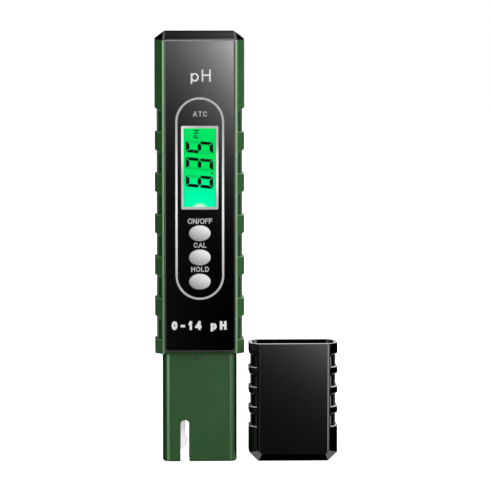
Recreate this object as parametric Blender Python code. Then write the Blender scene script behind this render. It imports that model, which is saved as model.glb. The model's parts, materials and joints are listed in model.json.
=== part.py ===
"""A pocket pH test pen, standing on its electrode sleeve beside its protective cap.

Sizes are in millimetres and MM turns them into Blender's metres. +Z is up along the pen, -Y is the
front with the display and keys, and the origin lies on the table between the pen and the cap.
The pen's own parts are modelled about the pen's axis and hang from the empty "pen"; the cap's parts
hang from the empty "cap".
"""

import math

import bmesh
import bpy
from mathutils import Vector

MM = 0.001

# Where the two halves of the set stand
PEN_X = -16.25
CAP_X = 16.35

# General fits
FIT = 0.1  # gap between two parts that sit in each other
SEAT = 0.05  # gap between two faces that rest on each other

# Outlines: the corner points in the first quadrant, from the side face round to the front face
HANDLE_CORNER = [(15.5, 4.5), (12.9, 7.6), (12.15, 8.0)]
CAP_CORNER = [(15.4, 4.5), (12.55, 7.7), (12.0, 8.0)]
SLEEVE_CORNER = [(12.9, 3.9), (11.4, 5.25), (10.6, 5.5)]
HANDLE_FRONT = HANDLE_CORNER[-1][1]
HANDLE_SIDE = HANDLE_CORNER[0][0]
SLEEVE_FRONT = SLEEVE_CORNER[-1][1]

# Handle
HANDLE_Z0 = 38.0
HANDLE_Z1 = 146.8
HANDLE_WALL = 1.7
CAVITY_Y = HANDLE_FRONT - HANDLE_WALL
COLLAR_TOP = 42.0
NOTCH_DEPTH = 0.65
NOTCH_RAMP = 0.9
HANDLE_NOTCHES = {"first": 42.8, "pitch": 14.4, "height": 8.7, "count": 6}
CAP_NOTCHES = {"first": 12.3, "pitch": 6.92, "height": 4.9, "count": 4}

# Front panel, display and keys
PANEL_HALF_X = 12.15
PANEL_Z0 = 38.95
PANEL_THICK = 0.8
PANEL_BACK = -(HANDLE_FRONT - PANEL_THICK)
BEZEL_OUT = (12.85, 28.9)
BEZEL_IN = (11.25, 27.2)
BEZEL_PROUD = 0.25
DISPLAY_Z = 102.75
TRIM_OUT = (17.1, 70.3)
TRIM_WIDTH = 1.0
TRIM_Z = 92.0
TRIM_DEPTH = 0.3
KEY_Z = {"on_off": 80.1, "cal": 71.7, "hold": 63.3}
KEY_SIZE = (7.6, 5.7)
KEY_FLANGE = (9.0, 7.2)
KEY_FLANGE_THICK = 0.6
KEY_PROUD = 0.7
KEY_CLEAR = 0.15

# Electronics
BOARD_FRONT = -0.6
BOARD_BACK = 0.6
BOARD_SIZE = (24.0, 73.5)
BOARD_Z = 90.75
SCREW_Z = {"upper": 124.0, "lower": 56.8}
SCREW_RADIUS = 1.0
SCREW_HEAD_RADIUS = 2.0
SWITCH_SIDE = 6.0
SWITCH_FRONT = -4.3
PLUNGER_RADIUS = 1.5
LCD_FRONT_GLASS = (17.0, 33.0)
LCD_REAR_GLASS = (14.0, 33.0)
LCD_HOLDER_OUT = (20.0, 36.0)

# Battery compartment
CELL_RADIUS = 5.8
CELL_LENGTH = 5.4
CELL_Z = 136.95
CELL_FIRST_X = 11.65
TRAY_GAP = 0.2
TRAY_Z0 = 129.6
TRAY_SADDLE_Z = 134.0
TRAY_Z1 = 143.0
TRAY_INNER_X = 12.15
CONTACT_X0 = 11.75
CONTACT_X1 = 12.05

# Battery cap
BATTERY_CAP_Z0 = HANDLE_Z1 + SEAT
BATTERY_CAP_TOP = 149.8
BATTERY_CAP_TOP_HALF = (12.0, 4.4)
SKIRT_Z0 = 143.3
SKIRT_GROOVE = (144.3, 145.6)

# Electrode sleeve and probes
SLEEVE_TOP = 50.0
SLEEVE_WALL = 1.4
SLOT_X = -5.2
SLOT_WIDTH = 3.1
SLOT_TOP = 14.6
PLUG_Z = 38.45
PLUG_HOLE = 2.85
PLUG_RADIUS = 2.6
CARRIER_Z = (20.0, 49.8)
GLASS_X = -7.4
TEMPERATURE_X = -1.2
REFERENCE_X = 7.4
PROBE_TOP = 50.4
GLASS_STEM = 2.5
GLASS_BULB = 3.1
GLASS_BULB_Z = 6.6
GLASS_WALL = 0.45
REFERENCE_RADIUS = 2.5
TEMPERATURE_RADIUS = 1.2

# Protective cap
CAP_TOP = 41.4
CAP_FLOOR = 2.6
CAP_BASE_HALF = (12.15, 4.63)
CAP_SIDE_CUT = 3.1
CAP_FRONT_CUT = 2.8
CAP_CORNER_CUT = ((15.4, -4.5, 3.1), (12.55, -8.0, 4.25), (11.1, -8.0, 2.8))
SPONGE_THICK = 4.5

MATERIALS = {
    "green_plastic": ((0.035, 0.09, 0.035), 0.38, 0.0),
    "black_plastic": ((0.006, 0.006, 0.006), 0.3, 0.0),
    "gloss_black": ((0.002, 0.002, 0.002), 0.08, 0.0),
    "silver": ((0.62, 0.62, 0.64), 0.3, 0.7),
    "clear": ((0.9, 0.95, 0.92), 0.05, 0.0),
    "display_green": ((0.0, 0.8, 0.12), 0.3, 0.0),
    "white_plastic": ((0.75, 0.75, 0.72), 0.45, 0.0),
    "board_green": ((0.01, 0.12, 0.04), 0.4, 0.0),
    "rubber": ((0.02, 0.02, 0.02), 0.8, 0.0),
    "steel": ((0.55, 0.55, 0.56), 0.25, 1.0),
    "nickel": ((0.7, 0.68, 0.62), 0.25, 1.0),
    "chip_black": ((0.012, 0.012, 0.012), 0.5, 0.0),
    "ceramic": ((0.8, 0.78, 0.7), 0.7, 0.0),
    "sponge": ((0.75, 0.6, 0.15), 0.95, 0.0),
    "wire_red": ((0.5, 0.02, 0.02), 0.5, 0.0),
    "wire_black": ((0.01, 0.01, 0.01), 0.5, 0.0),
    "wire_white": ((0.7, 0.7, 0.7), 0.5, 0.0),
}


# ---------------------------------------------------------------- scene and materials


def clear_scene():
    for old in list(bpy.data.objects):
        bpy.data.objects.remove(old)


def material(name):
    """The Principled material of that name, made the first time it is asked for."""
    found = bpy.data.materials.get(name)
    if found:
        return found
    colour, roughness, metallic = MATERIALS[name]
    made = bpy.data.materials.new(name)
    made.use_nodes = True
    shader = made.node_tree.nodes["Principled BSDF"]
    shader.inputs["Base Color"].default_value = (*colour, 1.0)
    shader.inputs["Roughness"].default_value = roughness
    shader.inputs["Metallic"].default_value = metallic
    return made


def group(name, x):
    """An empty on one half's axis, for its parts to hang from."""
    empty = bpy.data.objects.new(name, None)
    bpy.context.scene.collection.objects.link(empty)
    empty.location = (x * MM, 0.0, 0.0)
    return empty


def add(name, bm, surface, parent, at=(0.0, 0.0, 0.0), smooth=False):
    """Turns a bmesh in millimetres into a named object that hangs from parent."""
    bmesh.ops.recalc_face_normals(bm, faces=bm.faces)
    bmesh.ops.scale(bm, vec=(MM, MM, MM), verts=bm.verts)
    mesh = bpy.data.meshes.new(name)
    bm.to_mesh(mesh)
    bm.free()
    made = bpy.data.objects.new(name, mesh)
    bpy.context.scene.collection.objects.link(made)
    made.parent = parent
    made.location = [value * MM for value in at]
    if surface:
        mesh.materials.append(material(surface))
    if smooth:
        mesh.shade_smooth()
        mesh.set_sharp_from_angle(angle=math.radians(35))
    return made


def helper(name, bm, parent, at=(0.0, 0.0, 0.0)):
    """A cutter or a shape to join, which isn't a part of the pen by itself."""
    made = add(name, bm, None, parent, at)
    made.hide_render = True
    made.display_type = "WIRE"
    return made


def combine(target, operation, *others):
    for other in others:
        modifier = target.modifiers.new(operation.lower() + "_" + other.name, "BOOLEAN")
        modifier.operation = operation
        modifier.object = other
    return target


def cut(target, *others):
    return combine(target, "DIFFERENCE", *others)


def join(target, *others):
    return combine(target, "UNION", *others)


# ---------------------------------------------------------------- outlines, as lists of (x, y)


def four_corners(corner):
    """A closed outline with the same corner in every quadrant, anticlockwise from the front right."""
    front_right = [(x, -y) for x, y in reversed(corner)]
    back_right = list(corner)
    back_left = [(-x, y) for x, y in reversed(corner)]
    front_left = [(-x, -y) for x, y in corner]
    return front_right + back_right + back_left + front_left


def inset(outline, distance):
    """A convex anticlockwise outline with every side moved inwards by distance."""
    moved = []
    count = len(outline)
    for i in range(count):
        before, here, after = (Vector(outline[(i + k) % count]) for k in (-1, 0, 1))
        first = (here - before).normalized()
        second = (after - here).normalized()
        normals = [Vector((-way.y, way.x)) for way in (first, second)]
        middle = (normals[0] + normals[1]).normalized()
        moved.append(tuple(here + middle * distance / middle.dot(normals[0])))
    return moved


def ellipse(width, height, steps=24):
    turns = [2 * math.pi * i / steps for i in range(steps)]
    return [(width / 2 * math.cos(a), height / 2 * math.sin(a)) for a in turns]


def rectangle(width, height):
    return [(-width / 2, -height / 2), (width / 2, -height / 2),
            (width / 2, height / 2), (-width / 2, height / 2)]


def rounded(width, height, radius, steps=4):
    """A rectangle with round corners, or a capsule where radius is half of its width."""
    points = []
    for turn, (sx, sy) in enumerate(((1, 1), (-1, 1), (-1, -1), (1, -1))):
        cx, cy = sx * (width / 2 - radius), sy * (height / 2 - radius)
        for i in range(steps + 1):
            a = math.pi / 2 * (turn + i / steps)
            points.append((cx + radius * math.cos(a), cy + radius * math.sin(a)))
    return points


# ---------------------------------------------------------------- solids, in millimetres


def skin(rings, closed=False):
    """Joins rings of equally many points into a surface. Its two ends are capped, or joined if closed."""
    bm = bmesh.new()
    rows = [[bm.verts.new(point) for point in ring] for ring in rings]
    pairs = list(zip(rows, rows[1:]))
    if closed:
        pairs.append((rows[-1], rows[0]))
    else:
        bm.faces.new(rows[0])
        bm.faces.new(rows[-1])
    for low, high in pairs:
        count = len(low)
        for i in range(count):
            j = (i + 1) % count
            bm.faces.new((low[i], low[j], high[j], high[i]))
    return bm


def level(outline, z):
    return [(x, y, z) for x, y in outline]


def upright(outline, z0, z1):
    """An outline seen from above, raised from z0 to z1."""
    return skin([level(outline, z0), level(outline, z1)])


def facing(outline, y0, y1):
    """An outline seen from the front, given depth from y0 to y1."""
    return skin([[(x, y, z) for x, z in outline] for y in (y0, y1)])


def sideways(outline, x0, x1):
    """An outline of (y, z) points seen from the side, given width from x0 to x1."""
    return skin([[(x, y, z) for y, z in outline] for x in (x0, x1)])


def box(x, y, z):
    """A block between pairs of limits."""
    return upright([(x[0], y[0]), (x[1], y[0]), (x[1], y[1]), (x[0], y[1])], *z)


def turned(profile, steps=24, axis="Z", hollow=False):
    """Turns (radius, height) points about an axis. A hollow profile goes round its wall and closes on itself."""
    rings = []
    for radius, height in profile:
        ring = []
        for i in range(steps):
            a = 2 * math.pi * i / steps
            u, v = radius * math.cos(a), radius * math.sin(a)
            ring.append({"Z": (u, v, height), "Y": (u, height, v), "X": (height, u, v)}[axis])
        rings.append(ring)
    return skin(rings, closed=hollow)


def rod(radius, low, high, steps=24, axis="Z"):
    return turned([(radius, low), (radius, high)], steps, axis)


def frame(outer, inner, y0, y1):
    """A flat frame seen from the front, with a hole of its own outline."""
    rings = [[(x, y, z) for x, z in outline] for outline, y in
             ((outer, y0), (outer, y1), (inner, y1), (inner, y0))]
    return skin(rings, closed=True)


def collar(outer, inner, z0, z1):
    """An upright ring between two outlines seen from above."""
    rings = [level(outline, z) for outline, z in
             ((outer, z0), (outer, z1), (inner, z1), (inner, z0))]
    return skin(rings, closed=True)


def merge(*solids):
    """Several bmeshes as one, which stay separate bodies. Only cutters are made so."""
    whole = bmesh.new()
    for bm in solids:
        mesh = bpy.data.meshes.new("merged")
        bm.to_mesh(mesh)
        bm.free()
        whole.from_mesh(mesh)
        bpy.data.meshes.remove(mesh)
    return whole


def slice_off(bm, point, normal):
    """Cuts away what lies beyond a plane and closes the cut."""
    geometry = list(bm.verts) + list(bm.edges) + list(bm.faces)
    made = bmesh.ops.bisect_plane(bm, geom=geometry, plane_co=point, plane_no=normal, clear_outer=True)
    edges = [e for e in made["geom_cut"] if isinstance(e, bmesh.types.BMEdge)]
    bmesh.ops.contextual_create(bm, geom=edges)


def smooth_path(points, steps=4):
    """A Catmull-Rom curve through the points."""
    points = [Vector(p) for p in points]
    ends = [2 * points[0] - points[1], *points, 2 * points[-1] - points[-2]]
    path = [points[0]]
    for a, b, c, d in zip(ends, ends[1:], ends[2:], ends[3:]):
        for i in range(1, steps + 1):
            t = i / steps
            path.append(0.5 * (2 * b + (c - a) * t + (2 * a - 5 * b + 4 * c - d) * t * t
                               + (3 * b - a - 3 * c + d) * t ** 3))
    return path


def wire(name, points, radius, surface, parent, steps=3):
    """A round wire along a smooth route, as a curve with filled ends."""
    route = smooth_path(points, steps)
    curve = bpy.data.curves.new(name, "CURVE")
    curve.dimensions = "3D"
    curve.bevel_depth = radius * MM
    curve.bevel_resolution = 1
    curve.use_fill_caps = True
    spline = curve.splines.new("POLY")
    spline.points.add(len(route) - 1)
    for point, place in zip(spline.points, route):
        point.co = (*(place * MM), 1.0)
    curve.materials.append(material(surface))
    made = bpy.data.objects.new(name, curve)
    bpy.context.scene.collection.objects.link(made)
    made.parent = parent
    return made


# ---------------------------------------------------------------- grip notches


def notch_section(corner, depth):
    """The outline, seen from above, of what a grip notch takes off the right side at that depth."""
    side, edge = Vector(corner[0]), Vector(corner[1])
    along = (edge - side).normalized()
    outward = Vector((along.y, -along.x))
    if outward.x < 0:
        outward.negate()
    start = edge - along * 0.35
    wall = start - outward * depth
    floor_x = side.x - depth
    turn = wall + along * ((floor_x - wall.x) / along.x)
    outer = start + outward * 1.2
    far = side.x + 2.0
    half = [(far, outer.y), tuple(outer), tuple(wall), tuple(turn)]
    return half + [(x, -y) for x, y in reversed(half)]


def notch_cutter(name, corner, layout, parent):
    """All the notches of a casing: each has a square ledge at its foot and a ramp at its top."""
    solids = []
    for i in range(layout["count"]):
        foot = layout["first"] + i * layout["pitch"]
        head = foot + layout["height"]
        steps = ((NOTCH_DEPTH, foot), (NOTCH_DEPTH, head - NOTCH_RAMP), (-0.1, head))
        right = [level(notch_section(corner, depth), z) for depth, z in steps]
        left = [[(-x, y, z) for x, y, z in ring] for ring in right]
        solids += [skin(right), skin(left)]
    return helper(name, merge(*solids), parent)


# ---------------------------------------------------------------- handle


def half_handle(name, side, pen):
    """One half of the handle's casing, still solid. Side is -1 for the front and 1 for the back."""
    corner = [(x, side * y) for x, y in HANDLE_CORNER]
    parting = (HANDLE_SIDE, side * SEAT)
    right = [parting] + corner
    outline = right + [(-x, y) for x, y in reversed(right)]
    return add(name, upright(outline, HANDLE_Z0, HANDLE_Z1), "green_plastic", pen)


def handle_cutters(pen):
    """The space inside the handle, the sleeve's way in at its foot, and the grip notches."""
    outer = four_corners(HANDLE_CORNER)
    cavity = helper("cavity_cutter", upright(inset(outer, HANDLE_WALL), COLLAR_TOP, HANDLE_Z1 + 5), pen)
    passage = upright(inset(four_corners(SLEEVE_CORNER), -FIT), HANDLE_Z0 - 5, COLLAR_TOP + 1)
    passage = helper("passage_cutter", passage, pen)
    return [cavity, passage, notch_cutter("handle_notch_cutter", HANDLE_CORNER, HANDLE_NOTCHES, pen)]


def inner_ribs(name, side, pen):
    """The shelf under the battery tray and the stop over the sleeve's flange, inside one half."""
    wall = side * (CAVITY_Y + 0.3)
    shelf_inner, stop_inner = side * 3.2, side * (SLEEVE_FRONT + FIT)
    shelf = helper(name + "_shelf", box((-9, 9), sorted((wall, shelf_inner)), (128.3, TRAY_Z0 - SEAT)), pen)
    stop = helper(name + "_stop", box((-8, 8), sorted((wall, stop_inner)), (44.3, 45.5)), pen)
    return [shelf, stop]


def front_shell(pen, shared):
    shell = half_handle("front_shell", -1, pen)
    recess_y = (-HANDLE_FRONT - 2, PANEL_BACK + SEAT)
    recess_x = (-PANEL_HALF_X - SEAT, PANEL_HALF_X + SEAT)
    recess = helper("panel_recess", box(recess_x, recess_y, (PANEL_Z0 - SEAT, HANDLE_Z1 + 2)), pen)
    through = (-HANDLE_FRONT - 2, -CAVITY_Y + 1)
    openings = [facing(rectangle(BEZEL_IN[0] + 0.4, BEZEL_IN[1] + 0.4), *through)]
    bmesh.ops.translate(openings[0], vec=(0, 0, DISPLAY_Z), verts=openings[0].verts)
    for z in KEY_Z.values():
        hole = facing(ellipse(*[size + 2 * KEY_CLEAR for size in KEY_SIZE]), *through)
        bmesh.ops.translate(hole, vec=(0, 0, z), verts=hole.verts)
        openings.append(hole)
    openings = helper("front_openings", merge(*openings), pen)
    cut(shell, *shared, recess, openings)
    join(shell, *inner_ribs("front", -1, pen))
    for name, z in SCREW_Z.items():
        post = rod(2.3, -CAVITY_Y - 0.3, BOARD_FRONT - SEAT, axis="Y")
        pilot = rod(SCREW_RADIUS + SEAT, -CAVITY_Y + 0.5, 0, axis="Y", steps=16)
        join(shell, helper("front_post_" + name, post, pen, (0, 0, z)))
        cut(shell, helper("front_pilot_" + name, pilot, pen, (0, 0, z)))
    return shell


def rear_shell(pen, shared):
    shell = cut(half_handle("rear_shell", 1, pen), *shared)
    join(shell, *inner_ribs("rear", 1, pen))
    for name, z in SCREW_Z.items():
        post = rod(2.9, BOARD_BACK + SEAT, CAVITY_Y + 0.3, axis="Y")
        clearance = rod(SCREW_RADIUS + 0.15, 0, HANDLE_FRONT + 1, axis="Y", steps=16)
        head = rod(SCREW_HEAD_RADIUS + FIT, HANDLE_FRONT - 1.9, HANDLE_FRONT + 1, axis="Y")
        join(shell, helper("rear_post_" + name, post, pen, (0, 0, z)))
        cut(shell, helper("rear_clearance_" + name, clearance, pen, (0, 0, z)),
            helper("rear_counterbore_" + name, head, pen, (0, 0, z)))
    return shell


def case_screws(pen):
    """Two screws through the rear half and the board into the front half."""
    seat = HANDLE_FRONT - 1.9 + SEAT
    for name, z in SCREW_Z.items():
        profile = [(0.4, -CAVITY_Y + 0.7), (SCREW_RADIUS, -CAVITY_Y + 1.5), (SCREW_RADIUS, seat),
                   (SCREW_HEAD_RADIUS, seat), (SCREW_HEAD_RADIUS, seat + 0.9), (1.5, seat + 1.4)]
        screw = add("case_screw_" + name, turned(profile, 20, "Y"), "steel", pen, (0, 0, z), smooth=True)
        for i, size in enumerate(((2.4, 0.5), (0.5, 2.4))):
            slot = facing(rectangle(*size), seat + 0.6, seat + 2)
            cut(screw, helper(f"screw_slot_{name}_{i}", slot, pen, (0, 0, z)))


# ---------------------------------------------------------------- front panel, display and keys


def front_panel(pen):
    """The glossy inlaid panel, with a window, a groove for the trim ring and three key holes."""
    middle, half = (PANEL_Z0 + HANDLE_Z1) / 2, (HANDLE_Z1 - PANEL_Z0) / 2
    plate = facing(rectangle(2 * PANEL_HALF_X, 2 * half), -HANDLE_FRONT, PANEL_BACK)
    panel = add("front_panel", plate, "gloss_black", pen, (0, 0, middle))
    through = (-HANDLE_FRONT - 1, PANEL_BACK + 1)
    window = facing(rectangle(BEZEL_OUT[0] + 2 * SEAT, BEZEL_OUT[1] + 2 * SEAT), *through)
    cut(panel, helper("window_cutter", window, pen, (0, 0, DISPLAY_Z)))
    outer, inner = trim_outlines(SEAT)
    groove = frame(outer, inner, -HANDLE_FRONT - 1, -HANDLE_FRONT + TRIM_DEPTH + SEAT)
    cut(panel, helper("trim_groove", groove, pen, (0, 0, TRIM_Z)))
    for name, z in KEY_Z.items():
        hole = facing(ellipse(*[size + 2 * KEY_CLEAR for size in KEY_SIZE]), *through)
        cut(panel, helper("panel_hole_" + name, hole, pen, (0, 0, z)))


def trim_outlines(grow=0.0):
    """The capsule-shaped trim ring's outer and inner outlines, each side grown for its groove."""
    width, height = (size + 2 * grow for size in TRIM_OUT)
    outer = rounded(width, height, width / 2, 10)
    width, height = (size - 2 * (TRIM_WIDTH + grow) for size in TRIM_OUT)
    return outer, rounded(width, height, width / 2, 10)


def display_surround(pen):
    """The silver frame and the clear window in it, and the capsule-shaped trim ring."""
    ring = frame(rectangle(*BEZEL_OUT), rectangle(*BEZEL_IN), -HANDLE_FRONT - BEZEL_PROUD, PANEL_BACK)
    add("display_bezel", ring, "silver", pen, (0, 0, DISPLAY_Z))
    pane = facing(rectangle(BEZEL_IN[0] - 2 * SEAT, BEZEL_IN[1] - 2 * SEAT), -HANDLE_FRONT + 0.05, PANEL_BACK)
    add("display_window", pane, "clear", pen, (0, 0, DISPLAY_Z))
    ring = frame(*trim_outlines(), -HANDLE_FRONT - 0.05, -HANDLE_FRONT + TRIM_DEPTH)
    add("keypad_trim_ring", ring, "silver", pen, (0, 0, TRIM_Z))


def display_stack(pen):
    """Everything behind the window: two glasses, the light guide and its lamp, the contact strip and holder."""
    front = -CAVITY_Y + FIT
    plates = [
        ("lcd_front_glass", LCD_FRONT_GLASS, 0.0, front, front + 0.9, "clear"),
        ("lcd_rear_glass", LCD_REAR_GLASS, -1.4, front + 0.95, front + 1.85, "clear"),
        ("lcd_light_guide", (14.0, 30.0), -1.4, front + 1.95, front + 3.8, "display_green"),
    ]
    for name, size, x, y0, y1, surface in plates:
        add(name, facing(rectangle(*size), y0, y1), surface, pen, (x, 0, DISPLAY_Z))
    lamp = box((-3.4, 0.6), (front + 2.0, front + 3.7), (86.5, 87.6))
    add("backlight_lamp", lamp, "white_plastic", pen)
    strip = box((6.3, 8.2), (front + 0.95, BOARD_FRONT - SEAT), (DISPLAY_Z - 15.5, DISPLAY_Z + 15.5))
    add("lcd_contact_strip", strip, "rubber", pen)
    inner = rectangle(LCD_FRONT_GLASS[0] + 2 * FIT, LCD_FRONT_GLASS[1] + 2 * FIT)
    holder = frame(rectangle(*LCD_HOLDER_OUT), inner, front, BOARD_FRONT - SEAT)
    add("lcd_holder", holder, "white_plastic", pen, (0, 0, DISPLAY_Z))


def key(name, z, pen):
    """A domed oval key with a flange behind the panel, which keeps it in. It moves along Y."""
    flange_front = -CAVITY_Y + FIT
    flange_back = flange_front + KEY_FLANGE_THICK
    face = -HANDLE_FRONT - KEY_PROUD
    steps = [(KEY_FLANGE, flange_back), (KEY_FLANGE, flange_front), (KEY_SIZE, flange_front),
             (KEY_SIZE, face + 0.5), ((6.9, 5.0), face + 0.18), ((4.6, 3.0), face + 0.03)]
    rings = [[(x, y, v) for x, v in ellipse(*size)] for size, y in steps]
    add("key_" + name, skin(rings), "silver", pen, (0, 0, z), smooth=True)


def switch(name, z, pen):
    """A tact switch on the board: a square body with a round plunger that the key pushes in."""
    body = facing(rectangle(SWITCH_SIDE, SWITCH_SIDE), SWITCH_FRONT, BOARD_FRONT - SEAT)
    body = add("switch_body_" + name, body, "chip_black", pen, (0, 0, z))
    bore = rod(PLUNGER_RADIUS + FIT, SWITCH_FRONT - 1, SWITCH_FRONT + 1.7, 20, "Y")
    cut(body, helper("switch_bore_" + name, bore, pen, (0, 0, z)))
    front = -CAVITY_Y + FIT + KEY_FLANGE_THICK + SEAT
    plunger = rod(PLUNGER_RADIUS, front, SWITCH_FRONT + 1.1, 20, "Y")
    add("switch_plunger_" + name, plunger, "wire_red", pen, (0, 0, z), smooth=True)


# ---------------------------------------------------------------- board and wiring


def main_board(pen):
    plate = facing(rectangle(*BOARD_SIZE), BOARD_FRONT, BOARD_BACK)
    board = add("main_board", plate, "board_green", pen, (0, 0, BOARD_Z))
    for name, z in SCREW_Z.items():
        hole = rod(SCREW_RADIUS + 0.2, -2, 2, 16, "Y")
        cut(board, helper("board_hole_" + name, hole, pen, (0, 0, z)))


def board_components(pen):
    """The chips and the capacitor on the board's back."""
    back = BOARD_BACK + SEAT
    blocks = [
        ("microcontroller", (-4.5, 4.5), (back, back + 1.4), (96, 105)),
        ("input_amplifier", (-2.5, 2.5), (back, back + 1.5), (66, 70)),
        ("clock_crystal", (-8.5, -5.5), (back, back + 1.8), (85, 93)),
    ]
    for name, x, y, z in blocks:
        add(name, box(x, y, z), "steel" if name == "clock_crystal" else "chip_black", pen)
    can = rod(2.0, back, back + 4.0, 20, "Y")
    add("filter_capacitor", can, "steel", pen, (6.5, 0, 80.0), smooth=True)


def wiring(pen):
    """Leads from the probes and the battery contacts to the back of the board."""
    behind = BOARD_BACK + 0.75
    radius = 0.45
    for name, x, end, surface in (("glass", GLASS_X, -7.9, "wire_white"),
                                  ("temperature", TEMPERATURE_X, -4.9, "wire_black"),
                                  ("reference", REFERENCE_X, 5.6, "wire_red")):
        points = [(x, 0, PROBE_TOP + 0.2), (0.8 * x + 0.2 * end, 0.4, 51.6), (0.2 * x + 0.8 * end, behind, 53.0),
                  (end, behind, 57.0), (end, behind, 61.0)]
        wire("probe_lead_" + name, points, radius, surface, pen)
    for name, side, surface in (("negative", -1, "wire_black"), ("positive", 1, "wire_red")):
        x = side * (CONTACT_X0 + CONTACT_X1) / 2
        points = [(x, 0.9, 128.1), (x * 0.99, 1.4, 127.0), (side * 11.0, behind + 0.1, 124.5),
                  (side * 9.5, behind, 120.5), (side * 9.5, behind, 116.0)]
        wire("battery_lead_" + name, points, radius, surface, pen)


# ---------------------------------------------------------------- battery compartment


def battery_tray(pen):
    """A trough for a row of four button cells, which lie across the handle."""
    body = upright(inset(four_corners(HANDLE_CORNER), HANDLE_WALL + TRAY_GAP), TRAY_Z0, TRAY_Z1)
    tray = add("battery_tray", body, "black_plastic", pen)
    trough = box((-TRAY_INNER_X, TRAY_INNER_X), (-HANDLE_FRONT, HANDLE_FRONT), (TRAY_SADDLE_Z, TRAY_Z1 + 1))
    saddle = rod(CELL_RADIUS + FIT, -TRAY_INNER_X, TRAY_INNER_X, 40, "X")
    tails = merge(*[box(sorted((side * (CONTACT_X0 - 0.08), side * TRAY_INNER_X)), (-1.6, 1.6),
                        (TRAY_Z0 - 1, CELL_Z)) for side in (-1, 1)])
    cut(tray, helper("trough_cutter", trough, pen), helper("saddle_cutter", saddle, pen, (0, 0, CELL_Z)),
        helper("tail_cutter", tails, pen))


def battery_cells(pen):
    """Four button cells: a rimmed can with a smaller button on its negative side."""
    for i in range(4):
        right = CELL_FIRST_X - i * (CELL_LENGTH + FIT)
        left = right - CELL_LENGTH
        profile = [(4.4, left), (4.4, left + 0.35), (5.4, left + 0.4), (CELL_RADIUS, left + 0.8),
                   (CELL_RADIUS, right - 0.4), (5.4, right)]
        add(f"battery_cell_{i + 1}", turned(profile, 20, "X"), "nickel", pen, (0, 0, CELL_Z), smooth=True)


def battery_contacts(pen):
    """A sheet contact at each end of the row, with a conical spring on the negative one."""
    tab = [(-1.4, 128.7), (1.4, 128.7), (1.4, 134.6), (3.2, 134.6), (3.2, 141.5),
           (-3.2, 141.5), (-3.2, 134.6), (-1.4, 134.6)]
    for name, side in (("negative", -1), ("positive", 1)):
        limits = sorted((side * CONTACT_X0, side * CONTACT_X1))
        add("battery_contact_" + name, sideways(tab, *limits), "nickel", pen)
    turns, steps, wire_radius = 2.25, 10, 0.2
    start = -CONTACT_X0 + wire_radius + SEAT
    end = CELL_FIRST_X - 4 * CELL_LENGTH - 3 * FIT - wire_radius - SEAT
    count = int(turns * steps)
    points = []
    for i in range(count + 1):
        share = i / count
        angle, radius = 2 * math.pi * turns * share, 3.4 - 1.9 * share
        points.append((start + (end - start) * share, radius * math.cos(angle),
                       CELL_Z + radius * math.sin(angle)))
    wire("battery_spring", points, wire_radius, "nickel", pen, steps=1)


def battery_cap(pen):
    """The black top: a faceted lid whose hollow skirt slides into the handle, with a seal round it."""
    handle = four_corners(HANDLE_CORNER)
    bore = inset(handle, HANDLE_WALL)
    skirt, groove, hollow = (inset(bore, gap) for gap in (0.25, 0.75, 1.25))
    half_x, half_y = BATTERY_CAP_TOP_HALF
    top = four_corners([(half_x, half_y - 0.3), (half_x - 0.15, half_y - 0.1), (half_x - 0.3, half_y)])
    ceiling = BATTERY_CAP_TOP - 1.6
    roof = inset(top, 1.0)
    rings = [level(roof, ceiling), level(hollow, BATTERY_CAP_Z0 + 0.4), level(hollow, SKIRT_Z0),
             level(skirt, SKIRT_Z0), level(skirt, SKIRT_GROOVE[0]), level(groove, SKIRT_GROOVE[0]),
             level(groove, SKIRT_GROOVE[1]), level(skirt, SKIRT_GROOVE[1]), level(skirt, BATTERY_CAP_Z0),
             level(handle, BATTERY_CAP_Z0), level(handle, BATTERY_CAP_Z0 + 0.2),
             level(top, BATTERY_CAP_TOP)]
    add("battery_cap", skin(rings), "black_plastic", pen)
    seal = collar(inset(bore, 0.12), inset(groove, -SEAT), SKIRT_GROOVE[0] + SEAT, SKIRT_GROOVE[1] - SEAT)
    add("battery_cap_seal", seal, "rubber", pen)


# ---------------------------------------------------------------- electrode sleeve and probes


def electrode_sleeve(pen):
    """The green guard round the probes: open below, slotted front and back, with a flange in the handle."""
    outer = four_corners(SLEEVE_CORNER)
    foot, inner, flange = inset(outer, 0.5), inset(outer, SLEEVE_WALL), inset(outer, -0.6)
    rings = [level(inner, 0), level(foot, 0), level(outer, 0.8), level(outer, COLLAR_TOP + 1.0),
             level(flange, COLLAR_TOP + 1.0), level(flange, COLLAR_TOP + 2.2),
             level(outer, COLLAR_TOP + 2.2), level(outer, SLEEVE_TOP), level(inner, SLEEVE_TOP)]
    sleeve = add("electrode_sleeve", skin(rings, closed=True), "green_plastic", pen)
    half = SLOT_WIDTH / 2
    arch = [(half * math.cos(math.pi * i / 12), SLOT_TOP - half + half * math.sin(math.pi * i / 12))
            for i in range(13)]
    slot = facing(arch + [(-half, -2), (half, -2)], -SLEEVE_FRONT - 2, SLEEVE_FRONT + 2)
    hole = rod(PLUG_HOLE, -SLEEVE_FRONT - 1, -SLEEVE_FRONT + SLEEVE_WALL + 0.2, 32, "Y")
    cut(sleeve, helper("slot_cutter", slot, pen, (SLOT_X, 0, 0)), helper("plug_hole", hole, pen, (0, 0, PLUG_Z)))
    plug = rod(PLUG_RADIUS, -SLEEVE_FRONT, -SLEEVE_FRONT + SLEEVE_WALL - FIT, 32, "Y")
    add("sleeve_locating_plug", plug, "green_plastic", pen, (0, 0, PLUG_Z), smooth=True)
    seal = collar(inset(outer, -0.6), inset(outer, -FIT), COLLAR_TOP + SEAT, COLLAR_TOP + 1.0 - SEAT)
    add("sleeve_seal", seal, "rubber", pen)


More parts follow.
